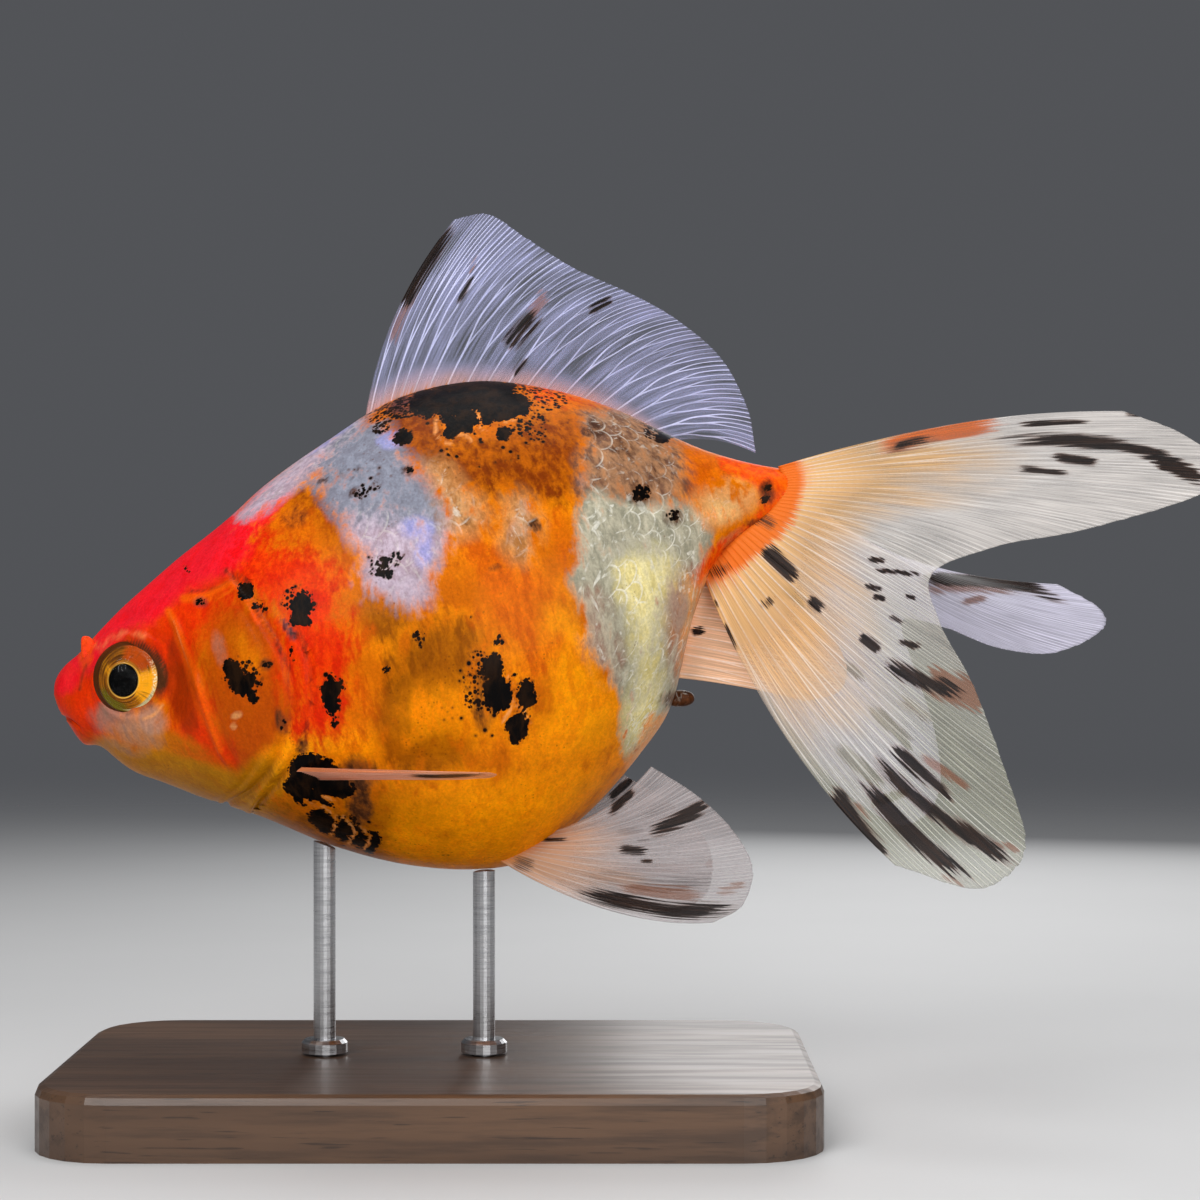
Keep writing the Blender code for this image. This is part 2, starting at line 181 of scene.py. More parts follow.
# %% Helpers for materials
class Finish:
    """A material under construction. Each method adds one node and gives back its output."""

    SHARE, FIRST, SECOND = 0, 6, 7  # a Mix node's sockets for its share and its two colours

    def __init__(self, name):
        self.material = bpy.data.materials.new(name)
        self.material.use_nodes = True
        self.tree = self.material.node_tree
        self.tree.nodes.clear()
        self.place = self.node("ShaderNodeTexCoord").outputs["Object"]

    def node(self, kind, sockets=None, **settings):
        """A node with these settings. Each socket is wired to another node's output, or set to a value."""
        made = self.tree.nodes.new(kind)
        for key, value in settings.items():
            setattr(made, key, value)
        for key, value in (sockets or {}).items():
            socket = made.inputs[key]
            if isinstance(value, bpy.types.NodeSocket):
                self.tree.links.new(value, socket)
            elif socket.type == "RGBA":
                socket.default_value = (*value[:3], 1.0)
            else:
                socket.default_value = value
        return made

    def value(self, name):
        """A number that the mesh carries at each point."""
        return self.node("ShaderNodeAttribute", attribute_name=name).outputs["Fac"]

    def math(self, operation, a, b=0.0, c=0.0):
        return self.node("ShaderNodeMath", {0: a, 1: b, 2: c}, operation=operation).outputs[0]

    def plus(self, a, b):
        return self.math("ADD", a, b)

    def minus(self, a, b):
        return self.math("SUBTRACT", a, b)

    def times(self, a, b):
        return self.math("MULTIPLY", a, b)

    def scaled(self, a, times, plus):
        return self.math("MULTIPLY_ADD", a, times, plus)

    def larger(self, a, b):
        return self.math("MAXIMUM", a, b)

    def step(self, value, low, high, to_low=0.0, to_high=1.0):
        """A smooth step of the value between low and high."""
        sockets = {"Value": value, "From Min": low, "From Max": high, "To Min": to_low, "To Max": to_high}
        return self.node("ShaderNodeMapRange", sockets, interpolation_type="SMOOTHSTEP").outputs[0]

    def frayed(self, value, shake):
        """The value with a shake added where it isn't 0, so that the edge of a mark wanders."""
        return self.plus(value, self.times(shake, self.step(value, 0.0, 0.3)))

    def mix(self, share, first, second):
        """The first colour where the share is 0, and the second where it is 1."""
        sockets = {self.SHARE: share, self.FIRST: first, self.SECOND: second}
        return self.node("ShaderNodeMix", sockets, data_type="RGBA").outputs[2]

    def shade(self, colour, amount):
        """The colour made darker below 1 and lighter above 1."""
        sockets = {self.SHARE: 1.0, self.FIRST: colour, self.SECOND: amount}
        return self.node("ShaderNodeMix", sockets, data_type="RGBA", blend_type="MULTIPLY").outputs[2]

    def noise(self, grain_mm, detail=2.0, roughness=0.5, twist=0.0, stretch=(1, 1, 1), tilt=0.0):
        """Noise whose lumps are about this many millimetres across. Tilt turns its grain about the Y axis."""
        place = self.place
        if tilt:
            turned_place = {"Vector": place, "Angle": tilt}
            place = self.node("ShaderNodeVectorRotate", turned_place, rotation_type="Y_AXIS").outputs[0]
        if stretch != (1, 1, 1):
            place = self.node("ShaderNodeVectorMath", {0: place, 1: stretch}, operation="MULTIPLY").outputs[0]
        sockets = {"Vector": place, "Scale": 1000 / grain_mm, "Detail": detail, "Roughness": roughness,
                   "Distortion": twist}
        return self.node("ShaderNodeTexNoise", sockets).outputs["Fac"]

    def noise_at(self, x, y, z, detail):
        """Noise in a space of its own, which these three numbers span."""
        place = self.node("ShaderNodeCombineXYZ", {0: x, 1: y, 2: z}).outputs[0]
        sockets = {"Vector": place, "Scale": 1.0, "Detail": detail}
        return self.node("ShaderNodeTexNoise", sockets).outputs["Fac"]

    def cells(self, size_mm):
        """Distance to the middle of irregular cells, and a number for each cell drawn by lot."""
        made = self.node("ShaderNodeTexVoronoi", {"Vector": self.place, "Scale": 1000 / size_mm},
                         feature="F1")
        lot = self.node("ShaderNodeSeparateColor", {"Color": made.outputs["Color"]}).outputs[0]
        return made.outputs["Distance"], lot

    def bump(self, height, distance_mm, strength=1.0, under=None):
        sockets = {"Height": height, "Distance": distance_mm * MM, "Strength": strength}
        if under:
            sockets["Normal"] = under
        return self.node("ShaderNodeBump", sockets).outputs[0]

    def done(self, sockets):
        surface = self.node("ShaderNodeBsdfPrincipled", sockets)
        output = self.node("ShaderNodeOutputMaterial")
        self.tree.links.new(surface.outputs[0], output.inputs[0])
        return self.material


print("helpers for materials:", *(name for name in vars(Finish) if name.islower() and name[0] != "_"))

# %% [markdown]
# ## The flat plan
#
# The markings and the lines of the head are planned on a flat side view of the fish, drawn on its middle
# plane as the eye sees it from 32 cm away. A point that bulges towards the eye looks a little further from
# the middle of the drawing, and on_plan allows for that. The fish's right side has a plan of its own, seen
# from the other side.

# %% From the body to the plan
PLAN_MIDDLE = (18.1, 58.3)
PLAN_DISTANCE = 320.0


def on_plan(points):
    """Where points of the fish fall on its side's plan: (x, z) in millimetres."""
    nearer = PLAN_DISTANCE / (PLAN_DISTANCE - np.abs(points[..., 1]))
    x = PLAN_MIDDLE[0] + (points[..., 0] - PLAN_MIDDLE[0]) * nearer
    z = PLAN_MIDDLE[1] + (points[..., 2] - PLAN_MIDDLE[1]) * nearer
    return x, z


def curve_distance(curve, x, z):
    """Distance from a chain of points on the plan, and the share of the chain that is nearest."""
    best = np.full(np.shape(x), 1e9)
    share = np.zeros(np.shape(x))
    for k in range(len(curve) - 1):
        (ax, az), (bx, bz) = curve[k], curve[k + 1]
        length = max((bx - ax) ** 2 + (bz - az) ** 2, 1e-9)
        t = np.clip(((x - ax) * (bx - ax) + (z - az) * (bz - az)) / length, 0, 1)
        away = np.hypot(x - ax - t * (bx - ax), z - az - t * (bz - az))
        nearer = away < best
        best = np.where(nearer, away, best)
        share = np.where(nearer, (k + t) / (len(curve) - 1), share)
    return best, share


def line_distance(line, x, z, samples=60):
    """Distance from a smooth curve through a few places of the plan, and the share that is nearest."""
    return curve_distance(through(line, np.linspace(0, 1, samples)), x, z)


def behind(line, x, z):
    """How far a place lies towards the tail from a line that runs down the plan, below 0 in front of it."""
    curve = through(line, np.linspace(0, 1, 80))
    order = np.argsort(curve[:, 1])
    return x - np.interp(z, curve[order, 1], curve[order, 0])


def patches(x, z, marks, soft=0.3):
    """The strongest of some soft ovals at a place: (x, z, half length, half height, tilt, strength)."""
    strongest = np.zeros(np.shape(x))
    for mark_x, mark_z, long, tall, tilt, strength in marks:
        c, s = math.cos(math.radians(tilt)), math.sin(math.radians(tilt))
        a = ((x - mark_x) * c + (z - mark_z) * s) / long
        b = ((z - mark_z) * c - (x - mark_x) * s) / tall
        strongest = np.maximum(strongest, strength * ease(np.hypot(a, b), 1 + soft, 1 - soft))
    return strongest


def zone(x, z, outline, soft):
    """1 inside a smooth closed outline, 0.5 on it and 0 outside. The edge takes soft millimetres each way."""
    field = np.zeros(np.shape(x))
    count = len(outline)
    looped = [outline[-1], *outline, outline[0], outline[1]]
    curve = through(looped, np.linspace(1 / (count + 2), (count + 1) / (count + 2), 4 * count + 1))
    low, high = curve.min(axis=0) - soft, curve.max(axis=0) + soft
    close = (x > low[0]) & (x < high[0]) & (z > low[1]) & (z < high[1])
    px, pz = x[close], z[close]
    inside = np.zeros(px.shape, bool)
    for (ax, az), (bx, bz) in zip(curve[:-1], curve[1:]):
        if az != bz:
            inside ^= ((az > pz) != (bz > pz)) & (px < (bx - ax) * (pz - az) / (bz - az) + ax)
    away = curve_distance(curve, px, pz)[0]
    field[close] = 0.5 + 0.5 * np.clip(np.where(inside, away, -away) / soft, -1, 1)
    return field


print("a point 15 mm out, on the plan:", on_plan(np.array([-40.0, -15.0, 50.0])))

# %% [markdown]
# ## The body's form
#
# The skin is one tube of rings from the snout to the tail root. Each ring is set by where it meets the back
# and the belly, how wide it is, how high its widest place is, and how sharp the back is there. The numbers
# are the same as in the solid, so the skin fits it. It is let in a fifth of a millimetre later, to leave
# room for the scales.
#
# Rings are packed closely on the head, which has small folds, and are further apart on the plain trunk.

# %% The body's rings
SECTIONS = [  # back x, back z, belly x, belly z, half width, height of the waist (a share), back's power
    (-43.7, 47.6, -43.7, 47.6, 0, 0.5, 1),
    (-43.3, 49.5, -42.9, 45.7, 2.1, 0.5, 1),
    (-42.3, 51, -41.8, 44.2, 3.5, 0.5, 1),
    (-40.6, 52.5, -40.2, 42, 5.1, 0.5, 1),
    (-38.3, 55, -38, 41.6, 6.8, 0.5, 1),
    (-35, 58.3, -34.6, 39, 8.9, 0.48, 1.05),
    (-30, 62.7, -29.6, 37.1, 11.7, 0.46, 1.1),
    (-25, 66.7, -24.6, 35.2, 14.2, 0.44, 1.15),
    (-19.6, 71.6, -19.6, 33.6, 16.3, 0.43, 1.25),
    (-13, 76.3, -12, 30.5, 18, 0.42, 1.35),
    (-5, 81.2, -4, 28.4, 18.9, 0.41, 1.4),
    (4, 83.2, 4, 27.8, 18.6, 0.41, 1.4),
    (12.5, 82.3, 10, 29, 17.2, 0.43, 1.35),
    (20, 80, 17, 34.3, 14.6, 0.46, 1.25),
    (26, 77.1, 22.9, 41, 11.2, 0.5, 1.15),
    (30, 75.4, 26.4, 46.6, 8.3, 0.52, 1.05),
    (34, 74.2, 28.3, 55, 6, 0.52, 1),
    (37.4, 73.5, 31, 61.8, 4.7, 0.52, 1),
    (40, 73.1, 36.4, 64.8, 3.7, 0.52, 1),
    (41.8, 72.6, 40, 67.6, 2.6, 0.52, 1),
    (42.6, 71, 42.6, 71, 0, 0.52, 1),
]
BELLY_POWER = 0.92
print("sections:", len(SECTIONS), "length:", SECTIONS[-1][0] - SECTIONS[0][0], "mm")


# %% Points of the body
def body_point(along, turn):
    """Points of the body: along is 0 at the snout, 1 at the tail; turn is 0 on top, 0.25 on the right."""
    back_x, back_z, belly_x, belly_z, half_width, waist, ridge = np.moveaxis(through(SECTIONS, along), -1, 0)
    up, side = np.cos(turn * math.tau), np.sin(turn * math.tau)
    height = np.where(up > 0, waist + (1 - waist) * up, waist * (1 + up))
    width = np.maximum(half_width, 0) * np.abs(side) ** np.where(up > 0, ridge, BELLY_POWER)
    x = belly_x + (back_x - belly_x) * height
    z = belly_z + (back_z - belly_z) * height
    return np.stack(np.broadcast_arrays(x, np.copysign(width, side), z), -1)


print("half way along, on the right side:", body_point(np.array(0.5), np.array(0.25)).round(2))

# %% [markdown]
# To space the rings evenly over the surface, a fine trial set is measured first. The distance a ring moves
# is divided by the spacing wanted there, and adding that up gives a scale to step along in equal strides.

# %% Ring spacing
HEAD_RINGS_END = -19.0
HEAD_SPACING, TRUNK_SPACING = 0.19, 0.44
END_GAP = 0.6  # strides left free at each end
AROUND = 284

trial = np.linspace(0, 1, 3000)
outline = body_point(trial[:, None], np.array([0.0, 0.25, 0.5])[None, :])
moved = np.linalg.norm(np.diff(outline, axis=0), axis=-1).mean(axis=1)
wanted = np.where(outline[1:, 1, 0] < HEAD_RINGS_END, HEAD_SPACING, TRUNK_SPACING)
strides = np.concatenate([[0], np.cumsum(moved / wanted)])
RINGS = int(strides[-1])
ring_along = np.interp(np.linspace(END_GAP, strides[-1] - END_GAP, RINGS), strides, trial)
ring_turn = np.arange(AROUND) / AROUND
flesh = body_point(ring_along[:, None], ring_turn[None, :])
outward = grid_normals(flesh, closed=True)
print("rings:", RINGS, "triangles:", 2 * RINGS * AROUND)

# %% [markdown]
# ## Lines of the head
#
# A goldfish's head is built of thin bones under skin, and their edges show as ridges and grooves: the cheek
# bone's rear edge, the gill cover and the soft membrane round it, the lips, and folds round the eye and
# nostril. Each is a line on the plan. Points near a line are lifted or sunk along the skin's normal, by a
# small hump, step or groove.

# %% Lines of the head
CHEEK_RIDGE = [(-30.6, 57), (-29.8, 55.2), (-28.6, 51.6), (-27.4, 48.6), (-26.5, 45.8), (-24.9, 41.4),
               (-23.1, 38.7)]
GILL_TOP = [(-28.9, 58.5), (-26.6, 58.7), (-24.8, 59.6), (-23.4, 60.2), (-22, 58.9), (-20.4, 56)]
GILL_EDGE = [(-24.6, 61.6), (-23.3, 60.2), (-20, 55.6), (-18, 51.8), (-17.3, 47.4), (-17.7, 43.4),
             (-19.6, 39.6), (-22.3, 36.4), (-27.5, 33.5)]
MEMBRANE_EDGE = [(-18.6, 57.6), (-16.4, 54), (-15.4, 50), (-15.4, 45.4), (-16.4, 41.6), (-18.4, 38.6),
                 (-20.9, 35.4), (-22.6, 32.5)]
MOUTH_SLIT = [(-43.4, 45.2), (-42.3, 44.9), (-41.5, 44.4), (-40.8, 43.7), (-40.4, 43)]
JAW_CREASE = [(-40.8, 47.4), (-40.1, 45.9), (-39.6, 44.4), (-39.3, 43), (-39, 41.6)]
NOSE_FOLD = [(-39.9, 51), (-40.4, 49.6), (-40.6, 48.2)]
BROW_FOLD = [(-39.2, 52.2), (-37.6, 54.3), (-35.4, 55.2), (-32.9, 54.7), (-30.9, 52.8), (-30.1, 50.4)]
CREASES = [  # line, shift rearward and up, half width, height (a groove's is below 0), share that fades
    (CHEEK_RIDGE, (0, 0), 0.3, 0.26, 0.15),
    (CHEEK_RIDGE, (0.9, 0), 0.5, -0.2, 0.15),
    (CHEEK_RIDGE, (-0.8, 0), 0.3, -0.1, 0.15),
    (GILL_TOP, (0, 0), 0.45, 0.26, 0.15),
    (GILL_TOP, (0.8, 0.8), 0.4, -0.2, 0.15),
    (GILL_EDGE, (0.5, 0), 0.3, -0.45, 0.06),
    (GILL_EDGE, (-1.3, 0), 0.3, -0.12, 0.1),
    (MEMBRANE_EDGE, (0, 0), 0.4, 0.24, 0.15),
    (MEMBRANE_EDGE, (0.7, 0), 0.32, -0.5, 0.15),
    (MOUTH_SLIT, (0, 0), 0.16, -0.3, 0.3),
    (JAW_CREASE, (0, 0), 0.3, -0.12, 0.3),
    (NOSE_FOLD, (0, 0), 0.35, -0.16, 0.3),
    (BROW_FOLD, (0, 0), 0.45, 0.2, 0.15),
]
print("ridges and grooves:", len(CREASES))

# %% [markdown]
# The gill cover stands a little proud of the skin behind it, so there is a step along its edge. Bare skin
# on the head is hardly ever quite even, so a faint ripple goes with it. At last the whole skin is let in,
# less on the head, where no scales lie over it.

# %% Relief of the head and body
COVER_STEP = 0.24
COVER_BELOW, COVER_ABOVE, COVER_FRONT = (34.5, 38), (61.5, 59.5), (-26, -19)  # where the step fades out
RIPPLE, RIPPLE_PACE = 0.035, 1.1
HEAD_DEPTH, COAT_DEPTH = 0.12, 0.2


def relief(x, z):
    """Height in millimetres of the small forms at a place of the plan."""
    height = 0
    for line, shift, width, rise, fade in CREASES:
        away, share = line_distance(np.array(line) + shift, x, z)
        height = height + rise * hump(away, width) * ease(share, 0, fade) * ease(share, 1, 1 - fade)
    on_cover = ease(z, *COVER_BELOW) * ease(z, *COVER_ABOVE) * ease(x, *COVER_FRONT)
    height = height + COVER_STEP * ease(behind(GILL_EDGE, x, z), 0.3, -0.2) * on_cover
    return height + RIPPLE * wander(x, z, RIPPLE_PACE, 5) * ease(x, -16, -24)


plan_x, plan_z = on_plan(flesh)
rise = relief(plan_x, plan_z)
neck = ease(behind(GILL_EDGE, plan_x, plan_z), -1, 2)
depth = HEAD_DEPTH + (COAT_DEPTH - HEAD_DEPTH) * neck
skin = flesh + outward * (rise - depth)[..., None]
print("relief from", rise.min().round(2), "to", rise.max().round(2), "mm")

# %% [markdown]
# ## Eye sockets
#
# A goldfish has no eyelids that close. The eye sits in a round opening with a soft rim, and a dark groove
# shows between the two, darkened with painted shade that is strongest above and behind the eye. The skin
# is one closed tube, so the opening is made by drawing its points in, towards the middle of the eye, until
# they lie inside the eyeball. Just outside, a low ring is raised, highest above and in front. A wider,
# fainter one is the fold of the brow. The solid eyes say where their middles are.

# %% Sockets
SIDES = {"left": -1, "right": 1}
OPENING_RADIUS = 4.1
OPENING_REARWARD = 0.66  # the opening's middle lies this far behind the eye's own
RIM_RADIUS, RIM_WIDTH = 4.65, 0.42
BROW_RADIUS, BROW_WIDTH, BROW_RISE = 6.0, 0.8, 0.1
BASIN_RADIUS, BASIN_FLOOR, BASIN_LEVEL = 8.6, 4.4, 3.0  # from, and fully within, and down to this level
EYE_FORWARD, EYE_UPWARD = 0.09, 0.04  # how far the eye's axis leans
NEAR_SIDE = 9.0  # points further than this along the axis belong to the other side of the head


def eye_frame(side):
    """Middle, radius, and the three directions of an eye: out, towards the tail and up."""
    low, high = (np.array(corner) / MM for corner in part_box(f"eye_{side}"))
    out = unit(np.array([-EYE_FORWARD, SIDES[side], EYE_UPWARD]))
    rearward = unit(np.array([1.0, 0.0, 0.0]) - out * out[0])
    upward = np.cross(rearward, out) * SIDES[side]
    return (low + high) / 2, (high - low)[0] / 2, out, rearward, upward


# %% Opening the sockets
socket = np.zeros(skin.shape[:2])
for side in SIDES:
    middle, radius, out, rearward, upward = eye_frame(side)
    offset = skin - middle - rearward * OPENING_REARWARD
    reach = offset @ out
    away = np.linalg.norm(offset - reach[..., None] * out, axis=-1)
    back, top = (offset @ way / np.maximum(away, 0.1) for way in (rearward, upward))
    near = ease(reach, 0.2, 1.0) * (np.abs(reach) < NEAR_SIDE)
    basin = np.maximum(reach - BASIN_LEVEL, 0) * ease(away, BASIN_RADIUS, BASIN_FLOOR)
    rim = hump(away - RIM_RADIUS, RIM_WIDTH) * (0.30 - 0.12 * back + 0.12 * top)
    brow = hump(away - BROW_RADIUS, BROW_WIDTH) * BROW_RISE * (1 + top)
    skin = skin + (near * (rim + brow - basin))[..., None] * out
    sunk = middle + unit(skin - middle) * (radius / 2)
    share = ease(away, OPENING_RADIUS + 0.2, OPENING_RADIUS - 0.35) * near
    skin = skin + (sunk - skin) * share[..., None]
    # painted shade on the socket wall, strongest above and behind the eye
    dark = 0.42 + 0.58 * ease(back + top, 0.1, 0.9)
    socket = np.maximum(socket, dark * ease(away, OPENING_RADIUS + 0.3, OPENING_RADIUS) * near)
    print(f"{side} eye: radius {radius:.2f} mm, middle", middle.round(2), "up", upward.round(2))

# %% [markdown]
# ## Nostril flaps and vent
#
# A small upright flap of red skin stands behind each nostril, and the vent is a low brown knob in front of
# the anal fins. Each is a squashed ball that sinks into the skin, in the place of its own small solid. The
# vent's ball is longer than its solid, so that it grows out of the belly. They join the skin's mesh, so the
# fish keeps one skin.

# %% Buds of skin
POLE_GAP = 0.02
BUD_POWER = 0.85  # below 1 it is a little boxier than a ball
FLAP_CURL = 0.3
VENT_STRETCH = (1.5, 1.0, 0.86)


def bud(node, rows=28, columns=36, curl=0.0, lower=0.0):
    """Rings of a squashed ball in a solid's box, with its ends bent forward and its top a little lower."""
    low, high = (np.array(corner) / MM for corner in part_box(node))
    high = high - (0, 0, lower)
    lat = np.linspace(POLE_GAP, math.pi - POLE_GAP, rows)[:, None]
    lon = np.linspace(0, math.tau, columns, endpoint=False)[None, :]
    ball = np.stack([np.sin(lat) * np.cos(lon), np.sin(lat) * np.sin(lon), np.cos(lat) + 0 * lon], -1)
    ball = np.sign(ball) * np.abs(ball) ** BUD_POWER
    points = (low + high) / 2 + ball * (high - low) / 2
    points[..., 0] -= curl * ball[..., 2] ** 2
    return points[:, ::-1]


def closed_tube(points):
    """A grid of rings with its two open ends filled by fans: (points, faces, {})."""
    rows, columns = points.shape[:2]
    faces = grid_faces(rows, columns, closed=True)
    first, last = rows * columns, rows * columns + 1
    end = (rows - 1) * columns
    faces += [[first, k, (k + 1) % columns] for k in range(columns)]
    faces += [[last, end + (k + 1) % columns, end + k] for k in range(columns)]
    flat = points.reshape(-1, 3)
    return np.vstack([flat, points[0].mean(axis=0), points[-1].mean(axis=0)]), faces, {}


# %% One mesh for the skin
vent = bud("vent")
vent_middle = vent.mean(axis=(0, 1))
vent = vent_middle + (vent - vent_middle) * VENT_STRETCH - (0.5, 0, 0)
left_flap = bud("nostril_flap_left", curl=FLAP_CURL, lower=0.5) + (0.5, 0, 0)
right_flap = bud("nostril_flap_right", curl=FLAP_CURL, lower=1.2)
skin_points, skin_faces, _ = join_parts([closed_tube(part) for part in (skin, left_flap, right_flap, vent)])
print("skin:", len(skin_points), "points")

# %% [markdown]
# The skin has to lie close to the solids that it stands for, and mostly just inside them. A BVH tree finds
# the nearest place on a mesh quickly, and the direction there tells inside from outside.

# %% How the skin fits the solids
FLESH = ["mouth", "head", "gill_cover_left", "gill_cover_right", "trunk", "tail_stalk"]
solid_points, solid_faces = [], []
for name in FLESH:
    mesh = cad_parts[name].data
    start = len(solid_points)
    solid_points += [vertex.co / MM for vertex in mesh.vertices]
    solid_faces += [[corner + start for corner in face.vertices] for face in mesh.polygons]
solids = BVHTree.FromPolygons(solid_points, solid_faces)
proud = []
EVERY = 23  # testing some of the points is enough
for point in skin[socket < 0.01][::EVERY]:
    place, normal, _, _ = solids.find_nearest(Vector(point))
    proud.append((Vector(point) - place).dot(normal))
print("skin above the solids, in mm: middle %.2f, most %.2f" % (np.median(proud), np.percentile(proud, 99)))

# %% [markdown]
# ## Markings
#
# A calico goldfish wears several layers of colour. Golden orange lies under everything. Over it come red,
# yellow, brown and pearly white patches, with ragged edges, and last the black: solid in the middle of a
# patch and broken into single dots round it, because each dot is one pigment cell seen through clear skin.
#
# Each colour is a short list of shapes on the plan: smooth outlines for the large patches, ovals for the
# small ones and lines for what follows a bone. The colours are laid in the order below. The two sides
# differ, as they do in life, so the right side borrows some outlines from the left, moves them, and has a
# few of its own.

# %% The colours
COLOURS = {  # two tones of each, and how gradually it begins
    "umber": ((0.36, 0.075, 0.001), (0.18, 0.028, 0.001), 0.46),
    "rust": ((0.56, 0.085, 0.001), (0.36, 0.045, 0.001), 0.46),
    "moss": ((0.39, 0.108, 0.001), (0.25, 0.062, 0.001), 0.44),
    "yellow": ((1.0, 0.34, 0.001), (0.8, 0.22, 0.001), 0.44),
    "orange": ((0.72, 0.142, 0.001), (0.52, 0.085, 0.001), 0.42),
    "red": ((0.79, 0.042, 0.001), (0.6, 0.016, 0.001), 0.42),
    "crimson": ((0.88, 0.014, 0.03), (0.76, 0.005, 0.008), 0.42),
    "ember": ((0.42, 0.034, 0.001), (0.3, 0.02, 0.001), 0.44),
    "olive": ((0.52, 0.215, 0.003), (0.38, 0.12, 0.002), 0.46),
    "petal": ((0.53, 0.43, 0.52), (0.35, 0.25, 0.3), 0.4),
    "mist": ((0.265, 0.28, 0.345), (0.185, 0.185, 0.23), 0.42),
    "beige": ((0.58, 0.36, 0.17), (0.38, 0.15, 0.04), 0.44),
    "mauve": ((0.39, 0.2, 0.1), (0.145, 0.068, 0.042), 0.44),
    "pearl": ((0.5, 0.46, 0.34), (0.28, 0.265, 0.19), 0.36),
    "blush": ((0.44, 0.265, 0.195), (0.3, 0.145, 0.098), 0.44),
    "lemon": ((0.98, 0.86, 0.42), (0.66, 0.55, 0.22), 0.44),
    # blue: painted reflections of blue light on the upper shoulder, and bluish patches along the back
    "blue_and_reflection": ((0.34, 0.35, 0.82), (0.28, 0.28, 0.54), 0.46),
    "flush": ((0.88, 0.13, 0.002), (0.74, 0.055, 0.002), 0.34),
    "cream": ((0.84, 0.5, 0.2), (0.8, 0.3, 0.08), 0.4),
    # golden orange: painted highlights on the folds by the eye, the lip rim, the front of the cheek ridge and
    # scale edges, and one golden patch low on the rear of the body
    "gold_and_highlight": ((0.92, 0.44, 0.16), (0.85, 0.28, 0.06), 0.4),
    "plum": ((0.12, 0.045, 0.05), (0.06, 0.018, 0.015), 0.44),
    # dark brown: blurred dark marks of the skin and the vent's brown, and painted shade in the head's
    # grooves, the gill opening and the eye sockets
    "smudge_and_shade": ((0.12, 0.04, 0.014), (0.05, 0.016, 0.006), 0.46),
}
print("colours over the gold:", ", ".join(COLOURS))

